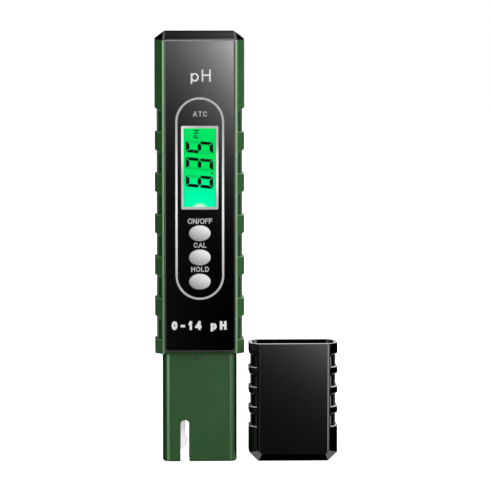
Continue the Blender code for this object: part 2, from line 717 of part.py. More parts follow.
def electrode_carrier(pen):
    """The block that closes the sleeve and holds the three probes."""
    body = upright(inset(four_corners(SLEEVE_CORNER), SLEEVE_WALL + FIT), *CARRIER_Z)
    carrier = add("electrode_carrier", body, "white_plastic", pen)
    for name, x, radius in (("glass", GLASS_X, GLASS_STEM), ("temperature", TEMPERATURE_X, TEMPERATURE_RADIUS),
                            ("reference", REFERENCE_X, REFERENCE_RADIUS)):
        bore = rod(radius + SEAT, CARRIER_Z[0] - 2, CARRIER_Z[1] + 2)
        cut(carrier, helper("probe_bore_" + name, bore, pen, (x, 0, 0)))


def glass_electrode(pen):
    """A glass tube blown into a thin bulb at its foot, with a silver wire down its middle."""
    def sweep(radius, start, steps=7):
        """Points down a sphere, from where a tube of radius start meets it to just short of its foot."""
        first = math.asin(start / radius)
        angles = [first + (math.pi - 0.15 - first) * i / steps for i in range(steps + 1)]
        return [(radius * math.sin(a), GLASS_BULB_Z + radius * math.cos(a)) for a in angles]
    outside = [(GLASS_STEM, PROBE_TOP - 0.4)] + sweep(GLASS_BULB, GLASS_STEM)
    inside = [(GLASS_STEM - GLASS_WALL, PROBE_TOP - 0.4)] + sweep(GLASS_BULB - GLASS_WALL, GLASS_STEM - GLASS_WALL)
    profile = outside[::-1] + inside
    add("glass_electrode", turned(profile, 20), "clear", pen, (GLASS_X, 0, 0), smooth=True)
    add("silver_wire", rod(0.35, 4.4, PROBE_TOP - 0.6, 10), "silver", pen, (GLASS_X, 0, 0), smooth=True)


def other_probes(pen):
    """The reference electrode with its porous tip, and the steel temperature probe."""
    profile = [(1.7, 5.6), (REFERENCE_RADIUS, 6.6), (REFERENCE_RADIUS, PROBE_TOP - 0.4)]
    body = add("reference_electrode", turned(profile, 20), "white_plastic", pen, (REFERENCE_X, 0, 0), smooth=True)
    cut(body, helper("junction_bore", rod(1.1, 4, 10, 16), pen, (REFERENCE_X, 0, 0)))
    tip = turned([(0.7, 4.9), (1.0, 5.2), (1.0, 9.8)], 16)
    add("reference_junction", tip, "ceramic", pen, (REFERENCE_X, 0, 0), smooth=True)
    profile = [(0.4, 5.0), (0.9, 5.3), (TEMPERATURE_RADIUS, 6.0), (TEMPERATURE_RADIUS, PROBE_TOP - 0.4)]
    add("temperature_probe", turned(profile, 20), "steel", pen, (TEMPERATURE_X, 0, 0), smooth=True)


# ---------------------------------------------------------------- protective cap


def protective_cap(cap):
    """A faceted cup that slides over the sleeve, with the handle's grip notches on its sides."""
    bm = upright(four_corners(CAP_CORNER), 0, CAP_TOP)
    side_x, front_y = CAP_CORNER[0][0], CAP_CORNER[-1][1]
    a, b, c = (Vector(point) for point in CAP_CORNER_CUT)
    corner_normal = (b - a).cross(c - b)
    if corner_normal.z > 0:
        corner_normal.negate()
    for sx in (-1, 1):
        slice_off(bm, (sx * side_x, 0, CAP_SIDE_CUT), (sx * CAP_SIDE_CUT, 0, CAP_BASE_HALF[0] - side_x))
        for sy in (-1, 1):
            normal = (sx * corner_normal.x, -sy * corner_normal.y, corner_normal.z)
            slice_off(bm, (sx * a.x, -sy * a.y, a.z), normal)
    for sy in (-1, 1):
        slice_off(bm, (0, sy * front_y, CAP_FRONT_CUT), (0, sy * CAP_FRONT_CUT, CAP_BASE_HALF[1] - front_y))
    shell = add("protective_cap", bm, "black_plastic", cap)
    hollow = inset(four_corners(SLEEVE_CORNER), -0.2)
    cut(shell, helper("cap_hollow", upright(hollow, CAP_FLOOR, CAP_TOP + 5), cap),
        notch_cutter("cap_notch_cutter", CAP_CORNER, CAP_NOTCHES, cap))
    pad = upright(inset(hollow, 0.3), CAP_FLOOR + SEAT, CAP_FLOOR + SPONGE_THICK)
    add("storage_sponge", pad, "sponge", cap)


def build():
    clear_scene()
    pen, cap = group("pen", PEN_X), group("cap", CAP_X)
    shared = handle_cutters(pen)
    front_shell(pen, shared)
    rear_shell(pen, shared)
    case_screws(pen)
    front_panel(pen)
    display_surround(pen)
    display_stack(pen)
    for name, z in KEY_Z.items():
        key(name, z, pen)
        switch(name, z, pen)
    main_board(pen)
    board_components(pen)
    wiring(pen)
    battery_tray(pen)
    battery_cells(pen)
    battery_contacts(pen)
    battery_cap(pen)
    electrode_sleeve(pen)
    electrode_carrier(pen)
    glass_electrode(pen)
    other_probes(pen)
    protective_cap(cap)


build()
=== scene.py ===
"""Looks for the pocket pH test pen and its protective cap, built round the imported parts.

Shapes are worked out in millimetres about the axis of the pen or of the cap, and MM turns them
into metres in the row frame. +Z is up along the pen and -Y is the front with the display and keys.
"""

import json
import math

import bmesh
import bpy
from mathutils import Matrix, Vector


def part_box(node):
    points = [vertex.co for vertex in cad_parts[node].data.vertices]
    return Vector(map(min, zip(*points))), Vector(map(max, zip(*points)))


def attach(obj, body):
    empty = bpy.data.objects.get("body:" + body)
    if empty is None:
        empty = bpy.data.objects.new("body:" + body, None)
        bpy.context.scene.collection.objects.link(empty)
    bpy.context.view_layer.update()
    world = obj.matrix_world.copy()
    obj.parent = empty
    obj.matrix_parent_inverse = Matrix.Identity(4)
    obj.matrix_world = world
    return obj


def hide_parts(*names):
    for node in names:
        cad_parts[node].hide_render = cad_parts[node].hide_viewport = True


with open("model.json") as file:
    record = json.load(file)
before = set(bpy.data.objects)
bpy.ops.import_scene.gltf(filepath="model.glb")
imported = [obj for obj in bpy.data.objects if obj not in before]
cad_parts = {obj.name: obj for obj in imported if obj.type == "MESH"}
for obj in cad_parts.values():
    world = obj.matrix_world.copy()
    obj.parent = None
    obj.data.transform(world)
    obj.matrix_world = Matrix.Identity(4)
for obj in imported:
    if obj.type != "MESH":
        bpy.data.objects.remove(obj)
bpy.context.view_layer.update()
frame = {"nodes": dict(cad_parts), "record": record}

MM = 0.001


def limits(node):
    """The lowest and highest corner of a CAD node, in millimetres."""
    low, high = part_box(node)
    return low / MM, high / MM


def middle(node):
    low, high = limits(node)
    return (low + high) / 2


# ---------------------------------------------------------------- sizes, from the frame where it has them

PEN_X = middle("front_shell").x
CAP_X = middle("protective_cap").x

# Outlines: the corner points in the first quadrant, from the side face round to the front face
HANDLE_CORNER = [(15.5, 4.5), (12.9, 7.6), (12.15, 8.0)]
CAP_CORNER = [(15.4, 4.5), (12.55, 7.7), (12.0, 8.0)]
ARC_STEPS = 4
SEAT = 0.05
HANDLE_Z0, HANDLE_Z1 = limits("front_shell")[0].z, limits("front_shell")[1].z
HANDLE_FRONT = -limits("front_shell")[0].y
HANDLE_WALL = 1.7
CAVITY_Y = HANDLE_FRONT - HANDLE_WALL
COLLAR_TOP = 42.0
POST_GAP = 0.65  # from the middle of the board to the end of each screw boss

# Grip notches: a ledge at the foot of each, and a rounded upper inner corner. Towards the front the
# ledge rises and the upper edge drops by these heights.
LEDGE = 0.3
NOTCH_DEPTH = 0.65
HANDLE_NOTCHES = {"first": 42.8, "pitch": 14.4, "height": 8.6, "count": 6, "radius": 0.7, "inner": 0.34,
                  "rise": 0.35, "drop": 1.2}
CAP_NOTCHES = {"first": 12.3, "pitch": 6.92, "height": 4.9, "count": 4, "radius": 1.1, "inner": 0.3,
               "rise": 0.2, "drop": 0.15}

PANEL_LOW, PANEL_HIGH = limits("front_panel")
PANEL_BACK = PANEL_HIGH.y
PANEL_HALF_X = PANEL_HIGH.x - PEN_X
PANEL_BORDER = 0.45
BEZEL_LOW, BEZEL_HIGH = limits("display_bezel")
DISPLAY_Z = middle("display_bezel").z
BEZEL_IN = (11.25, 27.2)
TRIM_Z = middle("keypad_trim_ring").z
TRIM_WIDTH = 1.0
TRIM_EDGE = 0.13  # how much narrower the visible trim is than its solid, on each side
KEY_NAMES = ("on_off", "cal", "hold")
KEY_SIZE = (7.6, 5.7)
KEY_CLEAR = 0.15
KEY_MARGIN = 0.22  # how much smaller the visible keys are than their solids
KEY_FLANGE_THICK = 0.6

SLEEVE_HALF = (12.9, 5.5)
SLEEVE_CORNER_RADII = (2.5, 2.3)
SLEEVE_STEPS = 10
SLEEVE_WALL = 1.4
SLEEVE_TOP = limits("electrode_sleeve")[1].z
SLOT_X, SLOT_WIDTH, SLOT_TOP = -5.2, 3.1, 14.6
PLUG_Z = middle("sleeve_locating_plug").z
PLUG_HOLE = 2.85
PLUG_RADIUS = 2.6
BULB_STEPS = 22

LID_Z0 = HANDLE_Z1 + SEAT
LID_TOP = limits("battery_cap")[1].z
LID_TOP_HALF = (12.0, 4.4)
SKIRT_Z0 = limits("battery_cap")[0].z
SKIRT_GROOVE = (144.3, 145.6)

CAP_TOP = limits("protective_cap")[1].z
CAP_FLOOR = 2.6
CAP_BASE_HALF = (12.15, 4.63)
CAP_SIDE_CUT = 3.1
CAP_FRONT_CUT = 2.8
CAP_CORNER_CUT = ((15.4, -4.5, 3.1), (12.55, -8.0, 4.25), (11.1, -8.0, 2.8))

# The seven-segment digits, which read up the pen
DIGIT_HEIGHT = 9.45
DIGIT_WIDTH = 4.25
DIGIT_SLANT = 0.094
SEGMENT_WIDTH = 1.26
SEGMENT_GAP = 0.2
SEGMENT_DEPTH = 0.03
READING = (("6", -4.87), ("3", 1.08), ("5", 6.98))
DECIMAL_POINT = (-1.95, -4.38)
UNIT_PLACE = (11.52, 0.25)
LIT = {"6": "acdefg", "3": "abcdg", "5": "acdfg"}


# ---------------------------------------------------------------- outlines, as lists of (x, y)


def four_corners(corner):
    """A closed outline with the same corner in every quadrant, anticlockwise from the front right."""
    front_right = [(x, -y) for x, y in reversed(corner)]
    back_left = [(-x, y) for x, y in reversed(corner)]
    return front_right + list(corner) + back_left + [(-x, -y) for x, y in corner]


def inset(outline, distance):
    """A convex anticlockwise outline with every side moved inwards by distance."""
    moved = []
    count = len(outline)
    for i in range(count):
        before, here, after = (Vector(outline[(i + k) % count]) for k in (-1, 0, 1))
        first, second = (here - before).normalized(), (after - here).normalized()
        normals = [Vector((-way.y, way.x)) for way in (first, second)]
        between = (normals[0] + normals[1]).normalized()
        moved.append(tuple(here + between * distance / between.dot(normals[0])))
    return moved


def soften(path, radii):
    """An open path whose inner corners are turned into arcs of these radii."""
    points = [Vector(path[0])]
    for before, here, after, radius in zip(path, path[1:], path[2:], radii):
        here = Vector(here)
        back, on = (Vector(before) - here).normalized(), (Vector(after) - here).normalized()
        half = back.angle(on) / 2
        centre = here + (back + on).normalized() * radius / math.sin(half)
        reach = radius / math.tan(half)
        start, end = (here + way * reach - centre for way in (back, on))
        points += [centre + start.slerp(end, i / ARC_STEPS) * radius for i in range(ARC_STEPS + 1)]
    points.append(Vector(path[-1]))
    return points


def ellipse(width, height, steps=64):
    turns = [2 * math.pi * i / steps for i in range(steps)]
    return [(width / 2 * math.cos(a), height / 2 * math.sin(a)) for a in turns]


def rounded(width, height, radius, steps=8):
    """A rectangle with round corners, or a capsule where radius is half of its width."""
    points = []
    for turn, (sx, sy) in enumerate(((1, 1), (-1, 1), (-1, -1), (1, -1))):
        cx, cy = sx * (width / 2 - radius), sy * (height / 2 - radius)
        for i in range(steps + 1):
            a = math.pi / 2 * (turn + i / steps)
            points.append((cx + radius * math.cos(a), cy + radius * math.sin(a)))
    return points


def sleeve_outline(grow=0.0):
    """The sleeve seen from above: a flat oval block with elliptical corners."""
    rx, ry = SLEEVE_CORNER_RADII
    corner = []
    for i in range(SLEEVE_STEPS + 1):
        a = math.pi / 2 * i / SLEEVE_STEPS
        corner.append((SLEEVE_HALF[0] - rx + rx * math.cos(a), SLEEVE_HALF[1] - ry + ry * math.sin(a)))
    return inset(four_corners(corner), -grow)


# ---------------------------------------------------------------- surfaces, in millimetres


def skin(rings, closed=False):
    """Joins rings of equally many points into a surface. Its two ends are capped, or joined if closed."""
    bm = bmesh.new()
    rows = [[bm.verts.new(point) for point in ring] for ring in rings]
    pairs = list(zip(rows, rows[1:]))
    if closed:
        pairs.append((rows[-1], rows[0]))
    else:
        bm.faces.new(rows[0])
        bm.faces.new(rows[-1])
    for low, high in pairs:
        count = len(low)
        for i in range(count):
            j = (i + 1) % count
            bm.faces.new((low[i], low[j], high[j], high[i]))
    return bm


def level(outline, z):
    return [(x, y, z) for x, y in outline]


def upright(outline, z0, z1):
    return skin([level(outline, z0), level(outline, z1)])


def seen(outline, y, z=0.0):
    """An outline seen from the front, at that depth, raised by z."""
    return [(x, y, v + z) for x, v in outline]


def facing(outline, y0, y1, z=0.0):
    return skin([seen(outline, y, z) for y in (y0, y1)])


def box(x, y, z):
    return upright([(x[0], y[0]), (x[1], y[0]), (x[1], y[1]), (x[0], y[1])], *z)


def turned(profile, steps=48, axis="Z"):
    """Turns (radius, height) points about an axis."""
    rings = []
    for radius, height in profile:
        ring = []
        for i in range(steps):
            a = 2 * math.pi * i / steps
            u, v = radius * math.cos(a), radius * math.sin(a)
            ring.append({"Z": (u, v, height), "Y": (u, height, v), "X": (height, u, v)}[axis])
        rings.append(ring)
    return skin(rings)


def rod(radius, low, high, steps=48, axis="Z"):
    return turned([(radius, low), (radius, high)], steps, axis)


def shifted(bm, by):
    bmesh.ops.translate(bm, vec=by, verts=bm.verts)
    return bm


def scratch(bm):
    """A temporary object from a bmesh."""
    bmesh.ops.recalc_face_normals(bm, faces=bm.faces)
    mesh = bpy.data.meshes.new("scratch")
    bm.to_mesh(mesh)
    bm.free()
    made = bpy.data.objects.new("scratch", mesh)
    bpy.context.scene.collection.objects.link(made)
    return made


def taken(obj):
    """The evaluated mesh of a temporary object, as a bmesh. The object is removed."""
    bpy.context.view_layer.update()
    mesh = bpy.data.meshes.new_from_object(obj.evaluated_get(bpy.context.evaluated_depsgraph_get()))
    bm = bmesh.new()
    bm.from_mesh(mesh)
    bpy.data.meshes.remove(mesh)
    bpy.data.objects.remove(obj)
    return bm


def carved(bm, *cutters, operation="DIFFERENCE"):
    """The solid after a Boolean with each cutter."""
    target = scratch(bm)
    others = [scratch(cutter) for cutter in cutters]
    for other in others:
        modifier = target.modifiers.new("carve", "BOOLEAN")
        modifier.operation = operation
        modifier.object = other
    result = taken(target)
    for other in others:
        bpy.data.objects.remove(other)
    return result


def slice_off(bm, point, normal):
    """Cuts away what lies beyond a plane and closes the cut."""
    geometry = list(bm.verts) + list(bm.edges) + list(bm.faces)
    made = bmesh.ops.bisect_plane(bm, geom=geometry, plane_co=point, plane_no=normal, clear_outer=True)
    edges = [e for e in made["geom_cut"] if isinstance(e, bmesh.types.BMEdge)]
    bmesh.ops.contextual_create(bm, geom=edges)


def piece(name, bm, body, slot, stands_for=(), x=PEN_X, sharp=30.0):
    """Turns a bmesh in millimetres into a finished piece that rides on a body."""
    shifted(bm, (x, 0, 0))
    bmesh.ops.recalc_face_normals(bm, faces=bm.faces)
    bmesh.ops.scale(bm, vec=(MM, MM, MM), verts=bm.verts)
    mesh = bpy.data.meshes.new(name)
    bm.to_mesh(mesh)
    bm.free()
    made = bpy.data.objects.new(name, mesh)
    bpy.context.scene.collection.objects.link(made)
    mesh.materials.append(surface(slot))
    mesh.shade_smooth()
    mesh.set_sharp_from_angle(angle=math.radians(sharp))
    made.modifiers.new("flat faces", "WEIGHTED_NORMAL").keep_sharp = True
    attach(made, body)
    if stands_for:
        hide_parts(*stands_for)
    return made


# ---------------------------------------------------------------- node trees


class Tree:
    """Short ways to wire up a node tree. Numbers and sockets can be given alike."""

    def __init__(self, owner):
        owner.use_nodes = True
        self.tree = owner.node_tree
        self.nodes = self.tree.nodes

    def add(self, kind, **settings):
        made = self.nodes.new(kind)
        for key, value in settings.items():
            setattr(made, key, value)
        return made

    def put(self, socket, value):
        if isinstance(value, bpy.types.NodeSocket):
            self.tree.links.new(value, socket)
        elif isinstance(value, tuple) and socket.type == "RGBA":
            socket.default_value = (*value, 1.0)
        else:
            socket.default_value = value

    def math(self, operation, *values):
        made = self.add("ShaderNodeMath", operation=operation)
        for socket, value in zip(made.inputs, values):
            self.put(socket, value)
        return made.outputs[0]

    def less(self, first, second):
        return self.math("SUBTRACT", first, second)

    def size(self, value):
        return self.math("ABSOLUTE", value)

    def larger(self, first, second):
        return self.math("MAXIMUM", first, second)

    def smaller(self, first, second):
        return self.math("MINIMUM", first, second)

    def total(self, *values):
        result = values[0]
        for value in values[1:]:
            result = self.math("ADD", result, value)
        return result

    def product(self, *values):
        result = values[0]
        for value in values[1:]:
            result = self.math("MULTIPLY", result, value)
        return result

    def rise(self, value, low, high, start=0.0, end=1.0, smooth=True):
        """start below low, end above high, and a smooth change between them."""
        made = self.add("ShaderNodeMapRange", interpolation_type="SMOOTHSTEP" if smooth else "LINEAR")
        made.clamp = True
        for name, number in (("Value", value), ("From Min", low), ("From Max", high),
                             ("To Min", start), ("To Max", end)):
            self.put(made.inputs[name], number)
        return made.outputs[0]

    def band(self, value, low, high, soft):
        """1 between low and high, fading to 0 over soft outside them."""
        return self.product(self.rise(value, low - soft, low), self.rise(value, high, high + soft, 1.0, 0.0))

    def mix(self, factor, first, second):
        made = self.add("ShaderNodeMix", data_type="RGBA")
        for i, value in ((0, factor), (6, first), (7, second)):
            self.put(made.inputs[i], value)
        return made.outputs[2]

    def separate(self, vector):
        made = self.add("ShaderNodeSeparateXYZ")
        self.put(made.inputs[0], vector)
        return made.outputs


class Surface(Tree):
    """A material with one Principled shader, and object coordinates in millimetres."""

    def __init__(self, name):
        self.material = bpy.data.materials.new(name)
        super().__init__(self.material)
        self.shader = self.nodes["Principled BSDF"]
        scale = self.add("ShaderNodeVectorMath", operation="SCALE")
        self.put(scale.inputs[0], self.add("ShaderNodeTexCoord").outputs["Object"])
        scale.inputs["Scale"].default_value = 1 / MM
        self.place = scale.outputs[0]

    def set(self, **values):
        """Sets the shader's sockets: base_color is Base Color, and so on."""
        for key, value in values.items():
            name = " ".join(word.capitalize() for word in key.split("_"))
            self.put(self.shader.inputs[name.replace("Ior", "IOR")], value)
        return self

    def noise(self, scale, detail=3.0, stretch=(1.0, 1.0, 1.0)):
        mapping = self.add("ShaderNodeMapping")
        self.put(mapping.inputs["Vector"], self.place)
        mapping.inputs["Scale"].default_value = stretch
        made = self.add("ShaderNodeTexNoise")
        self.put(made.inputs["Vector"], mapping.outputs[0])
        made.inputs["Scale"].default_value = scale
        made.inputs["Detail"].default_value = detail
        return made.outputs["Fac"]

    def cells(self, scale):
        made = self.add("ShaderNodeTexVoronoi")
        self.put(made.inputs["Vector"], self.place)
        made.inputs["Scale"].default_value = scale
        return made.outputs["Distance"]

    def bump(self, height, depth):
        """Raises the surface by up to depth millimetres where height is 1."""
        made = self.add("ShaderNodeBump")
        made.inputs["Strength"].default_value = 1.0
        made.inputs["Distance"].default_value = depth * MM
        self.put(made.inputs["Height"], height)
        self.put(self.shader.inputs["Normal"], made.outputs[0])
        return self

    def varied(self, colour, share, scale=0.15):
        """The colour, a little darker and lighter from place to place."""
        dark, light = (tuple(c * f for c in colour) for f in (1 - share, 1 + share))
        return self.mix(self.rise(self.noise(scale), 0.3, 0.7), dark, light)

    def uneven(self, roughness, spread, scale=0.4):
        return self.rise(self.noise(scale), 0.3, 0.7, roughness - spread, roughness + spread)


# ---------------------------------------------------------------- materials, one function for each slot

GREEN = (0.036, 0.106, 0.037)
SLEEVE_GREEN = (0.031, 0.096, 0.031)
# Painted light and shade on the casing: a darker green for the shade deep in the notches, a lighter green for
# the right corner faces where more light falls, and the paler greens of the painted highlights on the right
# and left bevels.
GREEN_NOTCH_SHADE = (0.016, 0.048, 0.016)
GREEN_LIT_RIGHT = (0.042, 0.109, 0.041)
GREEN_HIGHLIGHT = (0.24, 0.50, 0.24)
GREEN_HIGHLIGHT_LEFT = (0.43, 0.79, 0.42)
# The plane of the handle's corner faces: its normal (across, deep) and its distance from the axis
CORNER_NORMAL, CORNER_REACH = (0.766, 0.643), 14.77
# Where the painted highlight on the panel's border begins, at its sides and below its top edge
BORDER_SIDE, BORDER_TOP = 11.68, HANDLE_Z1 - 0.5


def notch_edges(made, layout, axis_x, low_x):
    """1 along the outer edge of each ledge at the foot of a grip notch."""
    x, _, z = made.separate(made.place)
    across = made.size(made.less(x, axis_x))
    up = made.less(z, layout["first"] - 1.0)
    phase = made.less(up, made.product(made.math(
        "FLOOR", made.math("DIVIDE", up, layout["pitch"])), layout["pitch"]))
    near = made.band(phase, 0.95, 1.2, 0.1)
    inside = made.band(up, 0.0, layout["count"] * layout["pitch"], 0.1)
    return made.product(near, inside, made.rise(across, low_x, low_x + 0.2))


def casing(name):
    """Fine-textured green ABS. Its colour carries painted highlights on the bevels, ledges, foot strip and
    top rim, painted shade in the notches, and a lighter green on the right where the light falls.
    """
    made = Surface(name)
    x, y, z = made.separate(made.place)
    across = made.size(made.less(x, PEN_X))
    deep = made.size(y)
    # painted highlight along the bevels between the corner faces and the front and back, fading downwards
    strip = made.product(made.band(across, 12.3, 12.84, 0.1), made.rise(deep, 7.45, 7.6))
    fade = made.rise(z, 45.0, 140.0, 0.46, 1.0, smooth=False)
    # the right corner faces get a lighter copy of the green: painted light from the right
    body = made.mix(made.rise(x, PEN_X + 12.9, PEN_X + 13.1), made.varied(GREEN, 0.06),
                    made.varied(GREEN_LIT_RIGHT, 0.06))
    # the painted highlight's colour, paler on the left bevel than on the right
    edge = made.mix(made.rise(x, PEN_X - 1, PEN_X + 1), GREEN_HIGHLIGHT_LEFT, GREEN_HIGHLIGHT)
    # painted highlight on the strip of the front face below the panel
    foot = made.product(made.rise(z, HANDLE_Z0 + 0.75, HANDLE_Z0 + 0.85, 1.0, 0.0),
                        made.rise(across, 12.3, 12.5, 1.0, 0.0), made.rise(deep, 7.2, 7.4))
    body = made.mix(made.larger(made.product(strip, fade), made.product(foot, 0.8)), body, edge)
    # how far below the corner face a point lies, which is more than nothing only in a notch
    along_normal = made.total(*[made.product(*pair) for pair in zip((across, deep), CORNER_NORMAL)])
    sunk = made.less(CORNER_REACH, along_normal)
    in_notch = made.product(made.rise(sunk, 0.15, 0.3), made.rise(across, 15.15, 15.25, 1.0, 0.0))
    # painted shade: the notch floors turn darker green towards their inner wall
    body = made.mix(made.product(in_notch, made.rise(across, 13.4, 14.6, 1.0, 0.3)), body, GREEN_NOTCH_SHADE)
    # painted highlight along the outer edge of each notch's ledge
    body = made.mix(made.product(notch_edges(made, HANDLE_NOTCHES, PEN_X, 13.1), 0.35), body, GREEN_HIGHLIGHT)
    # painted reflection: a grey band along the top rim of the front and back
    body = made.mix(made.product(made.rise(z, HANDLE_Z1 - 0.7, HANDLE_Z1 - 0.6),
                                 made.rise(deep, 7.45, 7.6)), body, (0.30, 0.32, 0.30))
    made.set(base_color=body, roughness=made.uneven(0.12, 0.02), specular_ior_level=0.4)
    return made.bump(made.noise(5.0, 4.0), 0.004)


def sleeve(name):
    """The same green, with a painted highlight where the round corners begin, painted shade beyond them and
    in the gap round the plug.
    """
    made = Surface(name)
    x, y, z = made.separate(made.place)
    beside, above = made.less(x, PEN_X), made.less(z, PLUG_Z)
    across = made.size(beside)
    # painted shade: near-black green towards the sides, past the round corners
    body = made.mix(made.rise(across, 11.5, 12.3), made.varied(SLEEVE_GREEN, 0.04), (0.002, 0.044, 0.005))
    # painted highlight where the round corners begin, paler on the left and fading towards the foot
    pale = made.mix(made.rise(beside, -1.0, 1.0), (0.22, 0.38, 0.22), (0.10, 0.18, 0.09))
    stripe = made.product(made.band(across, 10.75, 11.25, 0.3), made.rise(z, 0.0, 42.0, 0.55, 1.0))
    body = made.mix(stripe, body, pale)
    # painted shade: a dark ring in and round the gap about the plug, on its front
    reach = made.math("SQRT", made.total(made.product(beside, beside), made.product(above, above)))
    body = made.mix(made.product(made.band(reach, 2.5, 2.88, 0.05), made.rise(y, -5.0, -4.0, 1.0, 0.0)),
                    body, (0.001, 0.012, 0.003))
    made.set(base_color=body, roughness=made.uneven(0.14, 0.02), specular_ior_level=0.2)
    return made.bump(made.noise(4.0, 3.0), 0.002)


def panel(name):
    """Gloss black acrylic with the faintest orange peel, and a painted highlight on its bevelled border that
    fades downwards.
    """
    made = Surface(name)
    x, y, z = made.separate(made.place)
    across = made.size(made.less(x, PEN_X))
    # painted highlight: the bevelled border is light grey, brightest along the top, fading downwards, and
    # lighter again at the foot
    top = made.rise(z, BORDER_TOP, BORDER_TOP + 0.08)
    border = made.larger(made.rise(across, BORDER_SIDE, BORDER_SIDE + 0.08), top)
    border = made.larger(border, made.rise(z, PANEL_LOW.z + 0.36, PANEL_LOW.z + 0.44, 0.5, 0.0))
    fade = made.rise(z, 60.0, HANDLE_Z1, 0.1, 1.0, smooth=False)
    fade = made.larger(fade, made.rise(z, PANEL_LOW.z + 0.4, PANEL_LOW.z + 1.0, 0.6, 0.0))
    border_highlight = made.mix(top, (0.17, 0.17, 0.17), (0.30, 0.30, 0.30))
    body = made.mix(made.product(border, fade), (0.0002, 0.0002, 0.0002), border_highlight)
    made.set(base_color=body, roughness=made.uneven(0.02, 0.006))
    return made.bump(made.noise(0.5, 2.0), 0.0006)


def black_cap(name):
    """Polished black ABS with fine hairlines, and a painted grey highlight along the ledges of the grip."""
    made = Surface(name)
    # painted highlight: grey along the outer edge of each ledge
    edge = notch_edges(made, CAP_NOTCHES, CAP_X, 12.75)
    body = made.varied((0.0006, 0.0006, 0.0006), 0.1)
    made.set(base_color=made.mix(edge, body, (0.6, 0.6, 0.6)), roughness=made.uneven(0.03, 0.008))
    return made.bump(made.noise(1.2, 2.0), 0.0003)


def silver_trim(name):
    """Bright foil with fine brushing, whiter along the middle of the keypad's outline and glinting across the
    display's frame, both painted reflection.
    """
    made = Surface(name)
    x, y, z = made.separate(made.place)
    from_middle = made.size(made.less(z, TRIM_Z - 1.5))
    # painted reflection: whiter about the middle of the keypad outline, duller towards its ends
    ring = made.rise(from_middle, 0.0, 27.0, 1.1, 0.52, smooth=False)
    slanted = made.total(z, made.product(made.less(x, PEN_X), 0.78))
    # painted highlight: a diagonal glint across the display's frame
    glint = made.rise(made.size(made.less(slanted, DISPLAY_Z + 3.3)), 2.0, 11.0, 1.15, 0.58)
    on_bezel = made.rise(y, -8.15, -8.06, 1.0, 0.0)
    inside = made.product(made.band(made.size(made.less(x, PEN_X)), 0.0, 6.6, 0.2),
                          made.band(z, BEZEL_LOW.z, BEZEL_HIGH.z, 0.2))
    share = made.larger(on_bezel, inside)
    bright = made.total(made.product(ring, made.less(1.0, share)), made.product(glint, share))
    streak = made.rise(made.noise(3.0, 3.0, (6.0, 6.0, 0.4)), 0.3, 0.7, 0.97, 1.03)
    colour = made.mix(made.product(bright, streak), (0.0, 0.0, 0.0), (1.0, 0.985, 0.99))
    made.set(base_color=colour, roughness=made.uneven(0.42, 0.05), specular_ior_level=0.3)
    return made.bump(made.noise(8.0, 2.0, (6.0, 6.0, 0.4)), 0.001)


def key_silver(name):
    """Satin silver, painted brighter at the top and right of each key as if lit from there, and with painted
    shade below the panel's face.
    """
    made = Surface(name)
    x, y, z = made.separate(made.place)
    pitch = middle("key_cal").z - middle("key_hold").z
    place = made.math("DIVIDE", made.less(z, middle("key_hold").z - pitch / 2), pitch)
    up = made.less(made.math("FRACT", place), 0.5)
    right = made.product(made.less(x, PEN_X), 0.032)
    # painted light: brighter towards the top of each key and to the right
    bright = made.total(0.63, made.product(up, 0.62), right)
    grain = made.rise(made.noise(0.8), 0.3, 0.7, 0.98, 1.02)
    colour = made.mix(made.product(bright, grain), (0.0, 0.0, 0.0), (1.0, 1.0, 1.0))
    face = limits("key_cal")[0].y
    # painted shade: near black on the key below the panel's face, in the gap round it
    colour = made.mix(made.rise(y, face + 0.5, face + 0.6), colour, (0.01, 0.01, 0.01))
    made.set(base_color=colour, roughness=made.uneven(0.38, 0.04), specular_ior_level=0.3)
    return made.bump(made.noise(10.0, 2.0), 0.002)


def window(name):
    """A coated clear pane, with hardly any reflection and a trace of haze."""
    made = Surface(name)
    made.set(base_color=made.varied((0.985, 0.99, 0.985), 0.005), roughness=0.0,
             ior=1.001, transmission_weight=1.0)
    return made.bump(made.noise(0.3, 1.0), 0.0001)


def lcd_glass(name):
    """The lit display: green, turning bluer towards the lamp at its foot, with the lamp's white spot."""
    made = Surface(name)
    x, y, z = made.separate(made.place)
    up = made.less(z, BEZEL_LOW.z + 0.85)
    across = made.less(x, PEN_X)
    side = made.product(across, across)
    reach = made.math("SQRT", made.total(made.product(up, up), made.product(side, 0.35)))
    warm = made.rise(reach, 1.0, 15.0, 1.0, 0.0)
    colour = made.mix(warm, (0.0, 0.775, 0.122), (0.0, 1.0, 0.45))
    spot_reach = made.math("SQRT", made.total(made.product(up, up), made.product(side, 0.30)))
    spot = made.rise(spot_reach, 0.3, 1.6, 0.6, 0.0)
    colour = made.mix(spot, colour, (1.0, 1.0, 0.95))
    mura = made.rise(made.noise(0.4, 2.0), 0.3, 0.7, 0.985, 1.015)
    edge = made.rise(made.size(across), 4.9, 5.6, 1.0, 0.8)
    colour = made.mix(made.product(mura, edge), (0.0, 0.0, 0.0), colour)
    lit = made.rise(y, -6.05, -6.0, 1.0, 0.0)
    made.set(base_color=(0.001, 0.004, 0.002), roughness=made.uneven(0.25, 0.05), specular_ior_level=0.0,
             emission_color=made.mix(lit, (0.0, 0.05, 0.01), colour), emission_strength=1.0)
    return made


def light_guide(name):
    made = Surface(name)
    made.set(base_color=made.varied((0.55, 0.9, 0.65), 0.04), roughness=made.uneven(0.3, 0.05),
             transmission_weight=0.6, ior=1.49)
    return made.bump(made.cells(1.2), 0.05)


